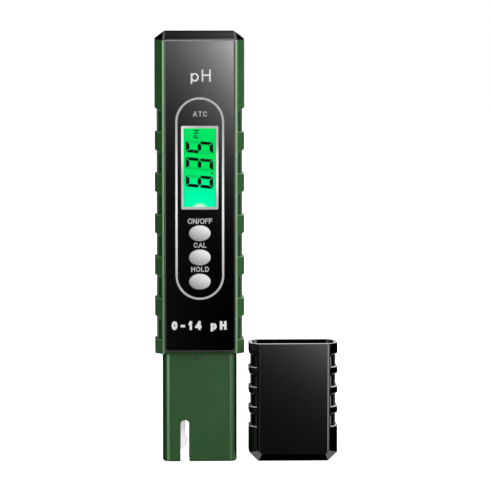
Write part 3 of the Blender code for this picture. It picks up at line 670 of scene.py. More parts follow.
def electrode_glass(name):
    """Thin milky glass, with a painted glow for the light behind it and painted shade on its stem."""
    made = Surface(name)
    z = made.separate(made.place)[2]
    # painted shade: the stem above the bulb is darker
    body = made.mix(made.rise(z, 9.5, 11.0), made.varied((0.92, 0.92, 0.92), 0.01), (0.62, 0.62, 0.62))
    # the white emission is a painted glow standing in for light from behind
    made.set(base_color=body, roughness=made.uneven(0.2, 0.04), ior=1.1, transmission_weight=0.12,
             specular_ior_level=0.5, emission_color=(1.0, 1.0, 1.0), emission_strength=0.35)
    return made.bump(made.noise(0.8, 2.0), 0.004)


def moulded(colour, roughness, grain=0.01, scale=4.0, spread=0.05):
    """A plain moulded or pressed part: a little uneven in colour and gloss, with a fine grain."""
    def build(name):
        made = Surface(name)
        made.set(base_color=made.varied(colour, spread), roughness=made.uneven(roughness, 0.05))
        return made.bump(made.noise(scale, 3.0), grain)
    return build


def metal(colour, roughness, stretch=(1.0, 1.0, 1.0)):
    """Bare metal with drawn or turned streaks."""
    def build(name):
        made = Surface(name)
        made.set(base_color=made.varied(colour, 0.05, 0.6), roughness=made.uneven(roughness, 0.06, 1.5),
                 metallic=1.0)
        return made.bump(made.noise(6.0, 3.0, stretch), 0.003)
    return build


def circuit_board(name):
    """Green solder mask over copper tracks."""
    made = Surface(name)
    tracks = made.rise(made.noise(0.7, 0.0, (1.0, 1.0, 0.35)), 0.48, 0.52)
    body = made.mix(tracks, (0.004, 0.075, 0.022), (0.01, 0.15, 0.045))
    made.set(base_color=body, roughness=made.uneven(0.35, 0.05))
    return made.bump(tracks, 0.03)


def sponge(name):
    """Open-celled yellow sponge, painted darker in its pores as shade in the hollows."""
    made = Surface(name)
    # painted shade: darker in the pores
    pores = made.rise(made.cells(1.6), 0.12, 0.42)
    made.set(base_color=made.mix(pores, (0.25, 0.16, 0.02), (0.82, 0.63, 0.16)),
             roughness=made.uneven(0.85, 0.08))
    return made.bump(pores, 0.25)


def seal_rubber(name):
    made = Surface(name)
    made.set(base_color=made.varied((0.018, 0.018, 0.018), 0.15), roughness=made.uneven(0.62, 0.06),
             sheen_weight=0.15)
    return made.bump(made.noise(7.0, 4.0), 0.015)


FINISHES = {
    "casing": casing, "sleeve": sleeve, "panel": panel, "black_cap": black_cap,
    "silver_trim": silver_trim, "key_silver": key_silver, "window": window, "lcd_glass": lcd_glass,
    "light_guide": light_guide, "electrode_glass": electrode_glass, "circuit_board": circuit_board,
    "seal_rubber": seal_rubber, "sponge": sponge,
    "probe_body": moulded((0.62, 0.62, 0.6), 0.35),
    "white_plastic": moulded((0.72, 0.72, 0.69), 0.45),
    "tray_black": moulded((0.012, 0.012, 0.012), 0.4, 0.02),
    "chip": moulded((0.013, 0.013, 0.014), 0.5, 0.01, 8.0, 0.15),
    "ceramic": moulded((0.78, 0.75, 0.66), 0.75, 0.04, 6.0),
    "lead_red": moulded((0.45, 0.012, 0.012), 0.4),
    "lead_black": moulded((0.01, 0.01, 0.01), 0.4),
    "lead_white": moulded((0.68, 0.68, 0.66), 0.4),
    "steel": metal((0.56, 0.56, 0.57), 0.28, (1.0, 6.0, 1.0)),
    "nickel": metal((0.66, 0.64, 0.6), 0.24, (0.4, 5.0, 5.0)),
    "silver_wire": metal((0.82, 0.81, 0.78), 0.22, (5.0, 5.0, 0.3)),
}


MADE = {}


def surface(slot):
    """The finish of a material slot, made the first time it is asked for."""
    if slot not in MADE:
        MADE[slot] = FINISHES[slot](slot + "_finish").material
    return MADE[slot]


def printed(name, colour):
    """Screen-printed ink, a little thin in places."""
    if name not in MADE:
        made = Surface(name)
        made.set(base_color=made.varied(colour, 0.05, 2.0), roughness=made.uneven(0.5, 0.05),
                 specular_ior_level=0.2)
        MADE[name] = made.bump(made.noise(9.0, 2.0), 0.003).material
    return MADE[name]


def dress_cad_nodes():
    """Gives every CAD node the finish of its slot."""
    for part in frame["record"]["subparts"]:
        node = frame["nodes"][part["node"]]
        node.data.materials.clear()
        node.data.materials.append(surface(part["material_slot"]))


# ---------------------------------------------------------------- grip notches


def smooth(share):
    share = max(0.0, min(1.0, share))
    return share * share * (3 - 2 * share)


def notch_share(s, z, layout):
    """How deep the surface lies in a notch, from 0 to 1, at s along the surface from the front edge."""
    share = 0.0
    for i in range(layout["count"]):
        foot = layout["first"] + i * layout["pitch"]
        radius = layout["radius"]
        across, below = s - layout["inner"], foot + layout["height"] - z
        if across < radius and below < radius:
            away = math.hypot(radius - across, radius - below)
            depth, upness = radius - away, (radius - below) / away
        else:
            depth, upness = min(across, below), float(below < across)
        upper = smooth(depth / (0.22 + 0.33 * upness))
        edge = z - foot
        lower = 0.04 * smooth((edge + 0.12) / 0.12) + 0.96 * max(0.0, min(1.0, edge / LEDGE))
        share = max(share, min(upper, lower))
    return share


def slanted(s, z, layout):
    """The height of a point of a row, moved along the slanting ends of the nearest notch."""
    inward = 1 - s / 4 if s > 0 else 1 + s / 0.8
    moved = z
    for i in range(layout["count"]):
        foot = layout["first"] + i * layout["pitch"]
        head, gap = foot + layout["height"], (layout["pitch"] - layout["height"]) / 2
        for edge, by, below, above in ((foot + LEDGE, layout["rise"], gap, layout["height"] * 0.4),
                                       (head, -layout["drop"], layout["height"] * 0.4, gap)):
            reach = above if z > edge else below
            moved += by * max(0.0, min(1.0, inward)) * max(0.0, 1 - abs(z - edge) / reach)
    return moved


def grip_section(corner, layout, seam):
    """Points of one quadrant from the seam at the side to the middle of the front.

    Each is (outer point, point on the floor of a notch, s), where s is the distance along the
    surface from the edge between the front bevel and the corner face, and is negative in front of it.
    """
    side, edge, front = corner
    path = soften([(side[0], seam), side, edge, front, (0.0, front[1])], (0.7, 0.15, 0.12))
    lengths = [0.0]
    for a, b in zip(path, path[1:]):
        lengths.append(lengths[-1] + (b - a).length)

    def at(distance):
        for i in range(len(path) - 1):
            if distance <= lengths[i + 1]:
                part = (distance - lengths[i]) / (lengths[i + 1] - lengths[i])
                return path[i].lerp(path[i + 1], part)
        return path[-1]

    nearest = min(range(len(path)), key=lambda i: (path[i] - Vector(edge)).length)
    start = lengths[nearest]
    face = (Vector(side) - Vector(edge)).length
    fine = [layout["inner"] + d for d in (-0.1, 0.0, 0.05, 0.1, 0.16, 0.22, 0.3, 0.42, 0.56, 0.72, 0.9,
                                          1.1, 1.32, 1.6, 2.0, 2.5)]
    stops = sorted(set(lengths) | {lengths[-2] + 0.15} | {start - s for s in fine} | {start - face - 2.0} |
                   {start + 3.0, start + 7.0})
    stops = [d for i, d in enumerate(stops) if d >= 0 and (i == 0 or d - stops[i - 1] > 0.02)]
    floor_x = side[0] - NOTCH_DEPTH
    first, bulge, last = (Vector(p) for p in ((edge[0] - 0.2, edge[1] - 0.25), (floor_x - 0.5, side[1] + 1.4),
                                              (floor_x, side[1] - 0.9)))
    samples = []
    for distance in stops:
        outer, s = at(distance), start - distance
        part = max(0.0, min(1.0, s / face))
        floor = first * (1 - part) ** 2 + bulge * 2 * part * (1 - part) + last * part ** 2
        if s > face:
            below = (s - face) / (side[1] - seam)
            floor = Vector((floor_x, last.y + (seam - last.y) * min(1.0, below)))
        samples.append((outer, outer if s < 0 else floor, s))
    samples[-1] = (Vector((0.0, front[1])), Vector((0.0, front[1])), -10.0)
    return samples


def grip_rows(z0, z1, layout, end):
    """Heights of the rows of points, close together where a notch begins or ends."""
    rows = {z0, z1, z0 + end, z1 - end, z0 + end * 0.3, z1 - end * 0.3}
    for i in range(layout["count"]):
        foot, head = layout["first"] + i * layout["pitch"], layout["height"]
        steps = [-0.3, -0.12, -0.06, 0.0, 0.1, 0.2, LEDGE, LEDGE + 0.1, 0.8, head / 2]
        steps += [head - d for d in (0.0, 0.1, 0.2, 0.32, 0.45, 0.6, 0.75, 0.9, 1.1, 1.35, 1.7)]
        steps.append(head + 0.2)
        rows |= {foot + step for step in steps}
    return sorted(z for z in rows if z0 <= z <= z1)


def end_inset(z, z0, z1, radius):
    """How far a rounded rim has drawn in at that height."""
    near = min(z - z0, z1 - z)
    return radius - math.sqrt(max(0.0, radius ** 2 - (radius - near) ** 2)) if near < radius else 0.0


def grip_ring(samples, z, layout, drawn_in):
    """One quadrant's points at that height, as (x, y, z)."""
    ring = []
    for outer, floor, s in samples:
        share = notch_share(s, z, layout) if s > 0 else 0.0
        point = outer.lerp(floor, share)
        if drawn_in:
            point = point - drawn_in * Vector((point.x / 15, point.y / 8)).normalized()
        ring.append((point.x, point.y, z if drawn_in else slanted(s, z, layout)))
    return ring


# ---------------------------------------------------------------- the handle


def along(path, share):
    """The point that share of the way along an open path."""
    path = [Vector(p) for p in path]
    lengths = [(b - a).length for a, b in zip(path, path[1:])]
    left = share * sum(lengths)
    for length, a, b in zip(lengths, path, path[1:]):
        if left <= length:
            return a.lerp(b, left / length)
        left -= length
    return path[-1]


def casing_half(side):
    """The outer and inner skins of one half of the handle, joined along its rims. Side is -1 in front."""
    end = 0.25
    samples = grip_section(HANDLE_CORNER, HANDLE_NOTCHES, SEAT)
    distances = [0.0]
    for a, b in zip(samples, samples[1:]):
        distances.append(distances[-1] + (b[0] - a[0]).length)
    shares = [d / distances[-1] for d in distances]
    hollow = [p for p in inset(four_corners(HANDLE_CORNER), HANDLE_WALL) if p[0] > 0 and p[1] > 0]
    hollow = [(hollow[0][0], SEAT)] + hollow + [(0.0, CAVITY_Y)]
    passage = [p for p in sleeve_outline(0.1) if p[0] > 0 and p[1] > 0]
    passage = [(passage[0][0], SEAT)] + passage + [(0.0, passage[-1][1])]

    def whole(quadrant):
        right = [(x, side * y, z) for x, y, z in quadrant]
        return right + [(-x, y, z) for x, y, z in right[-2::-1]]

    outer, inner = [], []
    for z in grip_rows(HANDLE_Z0, HANDLE_Z1, HANDLE_NOTCHES, end):
        outer.append(whole(grip_ring(samples, z, HANDLE_NOTCHES, end_inset(z, HANDLE_Z0, HANDLE_Z1, end))))
    for z, path in ((HANDLE_Z0, passage), (COLLAR_TOP, passage), (COLLAR_TOP, hollow), (HANDLE_Z1, hollow)):
        inner.append(whole([(*along(path, share), z) for share in shares]))
    return loop_solid(outer, inner)


def loop_solid(outer, inner):
    """A closed shell from two open skins, each a list of open rows from foot to head."""
    bm = bmesh.new()
    skins = [[[bm.verts.new(p) for p in row] for row in rows] for rows in (outer, inner)]
    for rows in skins:
        for low, high in zip(rows, rows[1:]):
            for i in range(len(low) - 1):
                bm.faces.new((low[i], low[i + 1], high[i + 1], high[i]))
    for k in (0, -1):
        one, two = skins[0][k], skins[1][k]
        for i in range(len(one) - 1):
            bm.faces.new((one[i], one[i + 1], two[i + 1], two[i]))
    for k in (0, -1):
        edge = [row[k] for row in skins[0]] + [row[k] for row in reversed(skins[1])]
        bm.faces.new(edge)
    return bm


def screw_heights():
    return [middle("case_screw_" + name).z for name in ("upper", "lower")]


def posts(radius, low, high):
    """A round boss for each case screw."""
    return [shifted(rod(radius, low, high, axis="Y"), (0, 0, z)) for z in screw_heights()]


def key_holes(through):
    hole = ellipse(*[size + 2 * KEY_CLEAR for size in KEY_SIZE])
    return [facing(hole, *through, middle("key_" + name).z) for name in KEY_NAMES]


def front_casing():
    recess = box((-PANEL_HALF_X - SEAT, PANEL_HALF_X + SEAT), (-HANDLE_FRONT - 2, PANEL_BACK + SEAT),
                 (PANEL_LOW.z - SEAT, HANDLE_Z1 + 2))
    through = (-HANDLE_FRONT - 1, -CAVITY_Y + 1)
    cutters = [recess, facing(rounded(BEZEL_IN[0] + 0.4, BEZEL_IN[1] + 0.4, 0.5), *through, DISPLAY_Z)]
    shell = carved(casing_half(-1), *cutters, *key_holes(through))
    shell = carved(shell, *posts(2.3, -CAVITY_Y - 0.3, -POST_GAP), operation="UNION")
    piece("front_casing", shell, "pen", "casing", ["front_shell"])


def rear_casing():
    shell = casing_half(1)
    shell = carved(shell, *posts(2.9, POST_GAP, CAVITY_Y + 0.3), operation="UNION")
    bores = []
    for z in screw_heights():
        profile = [(1.15, 0.0), (1.15, 6.1), (2.1, 6.1), (2.1, 7.85), (2.35, 8.1), (2.35, 9.0)]
        bores.append(shifted(turned(profile, axis="Y"), (0, 0, z)))
    piece("rear_casing", carved(shell, *bores), "pen", "casing", ["rear_shell"])


# ---------------------------------------------------------------- panel, display surround and keys


def trim_ring_rings(grow, steps):
    """The capsule's outline drawn in and set back by each of the steps (inset, y)."""
    low, high = limits("keypad_trim_ring")
    width, height = high.x - low.x + 2 * grow, high.z - low.z + 2 * grow
    rings = []
    for drawn_in, y in steps:
        outline = rounded(width - 2 * drawn_in, height - 2 * drawn_in, width / 2 - drawn_in, 24)
        rings.append(seen(outline, y, TRIM_Z))
    return rings


def gloss_panel():
    """The inlaid panel: a plate with a shallow bevelled border, its window, key holes and groove."""
    half_z, mid_z = (PANEL_HIGH.z - PANEL_LOW.z) / 2, (PANEL_HIGH.z + PANEL_LOW.z) / 2
    rings = []
    for drawn_in, y in ((0.0, PANEL_BACK), (0.0, -7.84), (PANEL_BORDER, -HANDLE_FRONT)):
        outline = rounded(2 * (PANEL_HALF_X - drawn_in), 2 * (half_z - drawn_in), 0.2, 3)
        rings.append(seen(outline, y, mid_z))
    plate = skin(rings)
    through = (-HANDLE_FRONT - 1, PANEL_BACK + 1)
    size = BEZEL_HIGH - BEZEL_LOW
    cutters = [facing(rounded(size.x + 0.1, size.z + 0.1, 0.5), *through, DISPLAY_Z)]
    outside, within = TRIM_EDGE, TRIM_WIDTH - TRIM_EDGE + 2 * SEAT
    groove = trim_ring_rings(SEAT, [(outside, -9), (outside, -7.65), (within, -7.65), (within, -9)])
    cutters.append(skin(groove, closed=True))
    cutters += key_holes(through)
    piece("gloss_panel", carved(plate, *cutters), "pen", "panel", ["front_panel"], sharp=8)


def bezel():
    """The display's frame, with a softly crowned face."""
    outer = BEZEL_HIGH - BEZEL_LOW
    across = ((outer.x - BEZEL_IN[0]) / 2, (outer.z - BEZEL_IN[1]) / 2)
    back, front = BEZEL_HIGH.y, BEZEL_LOW.y
    steps = [(0, back), (0, front + 0.16), (0.04, front + 0.07), (0.12, front + 0.02), (0.3, front),
             (0.7, front), (0.88, front + 0.02), (0.96, front + 0.07), (1, front + 0.16), (1, back)]
    rings = []
    for share, y in steps:
        width, height = outer.x - 2 * share * across[0], outer.z - 2 * share * across[1]
        rings.append(seen(rounded(width, height, 0.45 - 0.3 * share, 6), y, DISPLAY_Z))
    piece("silver_bezel", skin(rings, closed=True), "pen", "silver_trim", ["display_bezel"])


def trim_ring():
    steps = [(0, -7.7), (0, -7.97), (0.05, -8.01), (0.15, -8.04), (0.35, -8.05), (0.65, -8.05),
             (0.85, -8.04), (0.95, -8.01), (1.0, -7.97), (1.0, -7.7)]
    steps = [(TRIM_EDGE + share * (TRIM_WIDTH - 2 * TRIM_EDGE), y) for share, y in steps]
    piece("silver_outline", skin(trim_ring_rings(0, steps), closed=True), "pen", "silver_trim",
          ["keypad_trim_ring"])


def clear_window():
    low, high = limits("display_window")
    size = high - low
    rings = []
    for drawn_in, y in ((0.0, high.y), (0.0, low.y + 0.08), (0.08, low.y)):
        outline = rounded(size.x - 2 * drawn_in, size.z - 2 * drawn_in, 0.15, 3)
        rings.append(seen(outline, y, DISPLAY_Z))
    piece("clear_window", skin(rings), "pen", "window", ["display_window"])


def keys():
    """Oval keys, gently domed, each with the flange that keeps it behind the panel."""
    for name in KEY_NAMES:
        low, high = limits("key_" + name)
        width, height = (size - KEY_MARGIN for size in KEY_SIZE)
        flange = (high.x - low.x, high.z - low.z)
        back, face = high.y, low.y
        steps = [(flange, back), (flange, back - KEY_FLANGE_THICK),
                 ((width, height), back - KEY_FLANGE_THICK)]
        radius, rise = 0.22, 0.30
        rim = face + rise
        for i in range(5):
            a = math.pi / 2 * i / 4 * 0.82
            drawn_in = radius * (1 - math.cos(a))
            steps.append(((width - 2 * drawn_in, height - 2 * drawn_in), rim + radius * (1 - math.sin(a))))
        start = steps[-1]
        for i in range(1, 12):
            share = 1 - i / 12
            size = tuple(value * share for value in start[0])
            steps.append((size, face + (start[1] - face) * share ** 2))
        rings = [seen(ellipse(*size), y, middle("key_" + name).z) for size, y in steps]
        piece("domed_key_" + name, skin(rings), f"key_{name}_body", "key_silver", ["key_" + name], sharp=40)


# ---------------------------------------------------------------- the display


def display_point(u, v, y):
    """A point of the display: u up the pen in reading order, v across it, a digit's top at the left."""
    return (-0.05 - v, y, DISPLAY_Z + u)


def segment_outlines():
    """The seven segments of a digit about its middle, as (u, v) outlines."""
    w, h, t, gap = DIGIT_WIDTH / 2, DIGIT_HEIGHT / 2, SEGMENT_WIDTH, SEGMENT_GAP / 2
    m = t / 2

    def upright_bar(side, half):
        """A side segment, with a mitred end at the corner and a pointed one at the middle."""
        low, high = (gap, h - gap) if half > 0 else (-gap, -h + gap)
        sign = 1 if half > 0 else -1
        return [(side * w, low + sign * m * 0.6), (side * w, high - sign * 0.1), (side * (w - 0.1), high),
                (side * (w - t * 0.85), high - sign * (t - 0.05)), (side * (w - t * 0.85), low + sign * m),
                (side * (w - m), low + sign * 0.05)]

    def level_bar(v, inward):
        """The top or bottom segment, a trapezium whose longer side is outside."""
        return [(-w + gap + 0.25, v), (w - gap - 0.25, v), (w - t, v - inward * t), (-w + t, v - inward * t)]

    middle_bar = [(-w + m + gap, 0.0), (-w + t + gap, m), (w - t - gap, m), (w - m - gap, 0.0),
                  (w - t - gap, -m), (-w + t + gap, -m)]
    return {"a": level_bar(h, 1), "d": level_bar(-h, -1), "g": middle_bar,
            "b": upright_bar(1, 1), "c": upright_bar(1, -1),
            "f": upright_bar(-1, 1), "e": upright_bar(-1, -1)}


def plate_of(outline, place, front, back):
    """A thin plate from an outline, with place giving each point at a depth."""
    return skin([[place(u, v, y) for u, v in outline] for y in (back, front)])


def segment_ink(name, colour, strength):
    """The display's own dark or unlit green."""
    made = Surface(name)
    made.set(base_color=made.varied((0.0005, 0.0008, 0.0005), 0.2, 1.0), roughness=made.uneven(0.4, 0.05),
             specular_ior_level=0.05, emission_color=made.varied(colour, 0.01, 1.0),
             emission_strength=strength)
    return made.material


def reading():
    """The digits, dark where lit and faint where not, with the decimal point and the unit."""
    front = limits("lcd_front_glass")[0].y - SEGMENT_DEPTH
    back = front + SEGMENT_DEPTH * 0.9
    dark, faint = bmesh.new(), bmesh.new()
    for figure, offset in READING:
        for letter, outline in segment_outlines().items():
            moved = [(u + offset + v * DIGIT_SLANT, v) for u, v in outline]
            target = dark if letter in LIT[figure] else faint
            append(target, plate_of(moved, display_point, front, back))
    point = [(u + DECIMAL_POINT[0], v + DECIMAL_POINT[1]) for u, v in rounded(0.62, 0.62, 0.12, 3)]
    append(dark, plate_of(point, display_point, front, back))
    made = piece("display_digits", dark, "pen", "lcd_glass", sharp=30)
    made.data.materials[0] = segment_ink("segment_dark", (0.0, 0.0, 0.0), 0.0)
    made = piece("display_unlit_segments", faint, "pen", "lcd_glass", sharp=30)
    made.data.materials[0] = segment_ink("segment_faint", (0.0, 0.63, 0.105), 1.0)

    def beside(u, v, y):
        return display_point(UNIT_PLACE[0] + u, UNIT_PLACE[1] + v, y)

    unit = lettering("PH", 1.66, 2.85, 0.36, beside, front, back)
    made = piece("display_unit", unit, "pen", "lcd_glass")
    made.data.materials[0] = segment_ink("segment_thin", (0.0, 0.05, 0.01), 1.0)


def append(target, bm):
    """Adds one bmesh to another."""
    mesh = bpy.data.meshes.new("part")
    bmesh.ops.recalc_face_normals(bm, faces=bm.faces)
    bm.to_mesh(mesh)
    bm.free()
    target.from_mesh(mesh)
    bpy.data.meshes.remove(mesh)


def front_glass():
    """The display's front glass, with ground edges."""
    low, high = limits("lcd_front_glass")
    size, centre = high - low, (high + low) / 2
    rings = []
    for drawn_in, y in ((0.1, high.y), (0.0, high.y - 0.1), (0.0, low.y + 0.1), (0.1, low.y)):
        outline = rounded(size.x - 2 * drawn_in, size.z - 2 * drawn_in, 0.3, 3)
        rings.append(seen(outline, y, centre.z))
    piece("lit_display", skin(rings), "pen", "lcd_glass", ["lcd_front_glass"])


# ---------------------------------------------------------------- printed legends


def arc(cx, cy, rx, ry, start, end, steps=20):
    turns = [math.radians(start + (end - start) * i / steps) for i in range(steps + 1)]
    return [(cx + rx * math.cos(a), cy + ry * math.sin(a)) for a in turns]


# A plain sans serif alphabet, as (width, strokes). A stroke is the middle line of a bar, in a box one
# unit wide and one capital high.
GLYPHS = {
    "A": (0.84, [[(0, 0), (0.5, 1)], [(1, 0), (0.5, 1)], [(0.2, 0.33), (0.8, 0.33)]]),
    "C": (0.82, [arc(0.52, 0.5, 0.52, 0.5, 38, 322)]),
    "D": (0.78, [[(0, 0), (0, 1)],
                 [(0, 1), (0.42, 1)] + arc(0.42, 0.5, 0.58, 0.5, 85, -85) + [(0.42, 0), (0, 0)]]),
    "F": (0.64, [[(0, 0), (0, 1)], [(0, 1), (1, 1)], [(0, 0.52), (0.88, 0.52)]]),
    "H": (0.76, [[(0, 0), (0, 1)], [(1, 0), (1, 1)], [(0, 0.54), (1, 0.54)]]),
    "L": (0.62, [[(0, 0), (0, 1)], [(0, 0), (1, 0)]]),
    "N": (0.76, [[(0, 0), (0, 1)], [(1, 0), (1, 1)], [(0, 1), (1, 0)]]),
    "O": (0.90, [arc(0.5, 0.5, 0.5, 0.5, 0, 360, 32)]),
    "P": (0.72, [[(0, 0), (0, 1)],
                 [(0, 1), (0.5, 1)] + arc(0.5, 0.76, 0.5, 0.24, 80, -80) + [(0.5, 0.52), (0, 0.52)]]),
    "T": (0.74, [[(0, 1), (1, 1)], [(0.5, 0), (0.5, 1)]]),
    "p": (0.68, [[(0, -0.24), (0, 0.66)], arc(0.5, 0.34, 0.5, 0.34, 0, 360, 32)]),
    "/": (0.36, [[(0, 0), (1, 1)]]),
    "0": (0.66, [arc(0.5, 0.5, 0.5, 0.5, 0, 360, 32)]),
    "1": (0.42, [[(1, 0), (1, 1)], [(0.1, 0.74), (1, 1)]]),
    "4": (0.72, [[(0.78, 0), (0.78, 1)], [(0, 0.3), (0.78, 1)], [(0, 0.3), (1, 0.3)]]),
    "-": (0.50, [[(0, 0.42), (1, 0.42)]]),
    " ": (0.30, []),
}


def bar(points, width, place, front, back):
    """A flat bar of that width along a line, square at its ends. A line that meets itself is joined."""
    points = [Vector(p) for p in points]
    closed = (points[0] - points[-1]).length < 1e-6
    if closed:
        points.pop()
    else:
        points[0] = points[0] - (points[1] - points[0]).normalized() * width / 2
        points[-1] = points[-1] + (points[-1] - points[-2]).normalized() * width / 2
    rings = []
    for i, here in enumerate(points):
        before = points[i - 1] if closed or i else here * 2 - points[i + 1]
        after = points[(i + 1) % len(points)] if closed or i < len(points) - 1 else here * 2 - before
        way = ((here - before).normalized() + (after - here).normalized()).normalized()
        out = Vector((-way.y, way.x)) * width / 2
        rings.append([place(*(here + out), front), place(*(here - out), front),
                      place(*(here - out), back), place(*(here + out), back)])
    return skin(rings, closed=closed)


def lettering(text, height, width, stroke, place, front, back):
    """Letters of that capital height, spread over that width about the origin, on the line v = 0."""
    inner = height - stroke
    sizes = [GLYPHS[letter][0] * height - stroke for letter in text]
    taken_up = sum(sizes) + stroke * len(text)
    gap = (width - taken_up) / (len(text) - 1)
    made, left = bmesh.new(), -width / 2
    for letter, size in zip(text, sizes):
        for i, line in enumerate(GLYPHS[letter][1]):
            moved = [(left + stroke / 2 + u * size, stroke / 2 + v * inner) for u, v in line]
            append(made, bar(moved, stroke, place, front - 0.004 * i, back))
        left += size + stroke + gap
    return made


def legends():
    """Generic legends printed on the panel: what each key does, and what the meter reads."""
    on_off, cal, hold = (middle("key_" + name).z for name in KEY_NAMES)
    rows = [
        ("mark_ph", "pH", 0.38, 132.45, 4.1, 6.9, 0.56, "ink_white"),
        ("mark_atc", "ATC", 0.14, 120.41, 1.82, 4.99, 0.36, "ink_grey"),
        ("mark_on_off", "ON/OFF", 0.06, on_off + 3.25, 1.9, 8.5, 0.36, "ink_light"),
        ("mark_cal", "CAL", 0.06, cal + 3.36, 1.77, 4.4, 0.36, "ink_light"),
        ("mark_hold", "HOLD", 0.09, hold + 3.39, 1.8, 6.2, 0.36, "ink_light"),
        ("mark_range", "0-14 pH", -0.29, 46.5, 3.04, 19.0, 0.85, "ink_white"),
    ]
    greys = {"ink_white": 0.84, "ink_light": 0.48, "ink_grey": 0.44}
    for name, text, x, z, height, width, stroke, ink in rows:
        def place(u, v, y):
            return (x + u, y, z + v)

        bm = lettering(text, height, width, stroke, place, -HANDLE_FRONT - 0.03, -HANDLE_FRONT + 0.01)
        made = piece(name, bm, "pen", "panel")
        made.data.materials[0] = printed(ink, (greys[ink],) * 3)


# ---------------------------------------------------------------- battery lid


def battery_lid():
    """The black top: a faceted lid with a slightly crowned face, and a hollow skirt with a seal groove."""
    handle = four_corners(HANDLE_CORNER)
    bore = inset(handle, HANDLE_WALL)
    skirt, groove, hollow = (inset(bore, gap) for gap in (0.25, 0.75, 1.25))
    half_x, half_y = LID_TOP_HALF
    top = four_corners([(half_x, half_y - 0.12), (half_x - 0.03, half_y - 0.03), (half_x - 0.12, half_y)])
    roof = inset(four_corners([(half_x, half_y - 0.3), (half_x - 0.15, half_y - 0.1),
                               (half_x - 0.3, half_y)]), 1.0)
    rings = [level(roof, LID_TOP - 1.6), level(hollow, LID_Z0 + 0.4), level(hollow, SKIRT_Z0),
             level(skirt, SKIRT_Z0), level(skirt, SKIRT_GROOVE[0]), level(groove, SKIRT_GROOVE[0]),
             level(groove, SKIRT_GROOVE[1]), level(skirt, SKIRT_GROOVE[1]), level(skirt, LID_Z0),
             level(inset(handle, 0.1), LID_Z0), level(handle, LID_Z0 + 0.1), level(handle, LID_Z0 + 0.25)]
    steps, crown = 10, 0.09
    low = LID_Z0 + 0.25
    for i in range(1, steps + 1):
        share = i / steps
        bulge = crown * 4 * share * (1 - share)
        ring = []
        for (x0, y0), (x1, y1) in zip(handle, top):
            x, y = x0 + (x1 - x0) * share, y0 + (y1 - y0) * share
            out = Vector((x / 15, y / 8)).normalized() * bulge * 0.7
            ring.append((x + out.x, y + out.y, low + (LID_TOP - 0.06 - low) * share + bulge * 0.7))
        rings.append(ring)
    rings.append(level(inset(top, 0.1), LID_TOP))
    piece("black_lid", skin(rings), "battery_lid", "black_cap", ["battery_cap"], sharp=12)


# ---------------------------------------------------------------- electrode sleeve and glass


def green_sleeve():
    """The guard round the probes: round-cornered, open below, slotted, with a flange in the handle."""
    foot_radius = 0.95
    rings = [level(sleeve_outline(-SLEEVE_WALL), 0.25), level(sleeve_outline(-SLEEVE_WALL + 0.15), 0.0)]
    for i in range(6):
        a = math.pi / 2 * i / 5
        rings.append(level(sleeve_outline(foot_radius * (math.sin(a) - 1)), foot_radius * (1 - math.cos(a))))
    collar = COLLAR_TOP + 1.0
    rings += [level(sleeve_outline(), z) for z in (10.0, 24.0, collar)]
    rings += [level(sleeve_outline(0.6), collar), level(sleeve_outline(0.6), collar + 1.2),
              level(sleeve_outline(), collar + 1.2), level(sleeve_outline(), SLEEVE_TOP),
              level(sleeve_outline(-SLEEVE_WALL), SLEEVE_TOP)]
    half = SLOT_WIDTH / 2
    arch = [(half * math.cos(math.pi * i / 24), SLOT_TOP - half + half * math.sin(math.pi * i / 24))
            for i in range(25)]
    slot = facing([(SLOT_X + x, z) for x, z in arch + [(-half, -2), (half, -2)]], -8, 8)
    hole = shifted(rod(PLUG_HOLE, -8, -SLEEVE_HALF[1] + SLEEVE_WALL + 0.2, 64, "Y"), (0, 0, PLUG_Z))
    body = carved(skin(rings, closed=True), slot, hole)
    piece("green_sleeve", body, "pen", "sleeve", ["electrode_sleeve"], sharp=35)
    front, back = limits("sleeve_locating_plug")[0].y, limits("sleeve_locating_plug")[1].y
    profile = [(PLUG_RADIUS, back), (PLUG_RADIUS, front + 0.05), (PLUG_RADIUS - 0.05, front)]
    plug = shifted(turned(profile, 64, "Y"), (0, 0, PLUG_Z))
    piece("green_plug", plug, "pen", "sleeve", ["sleeve_locating_plug"])


def milky_electrode():
    """A glass tube blown into a thin bulb at its foot."""
    low, high = limits("glass_electrode")
    x, bulb, stem, wall = middle("glass_electrode").x - PEN_X, (high.x - low.x) / 2, 2.5, 0.45
    centre = low.z + 3.07

    def sweep(radius, start):
        first = math.asin(start / radius)
        angles = [first + (math.pi - 0.06 - first) * i / BULB_STEPS for i in range(BULB_STEPS + 1)]
        return [(radius * math.sin(a), centre + radius * math.cos(a)) for a in angles]

    outside = [(stem, high.z)] + sweep(bulb, stem)
    inside = [(stem - wall, high.z)] + sweep(bulb - wall, stem - wall)
    made = turned(outside[::-1] + inside, 48)
    piece("milky_electrode", shifted(made, (x, 0, 0)), "pen", "electrode_glass", ["glass_electrode"],
          sharp=50)


# ---------------------------------------------------------------- protective cap


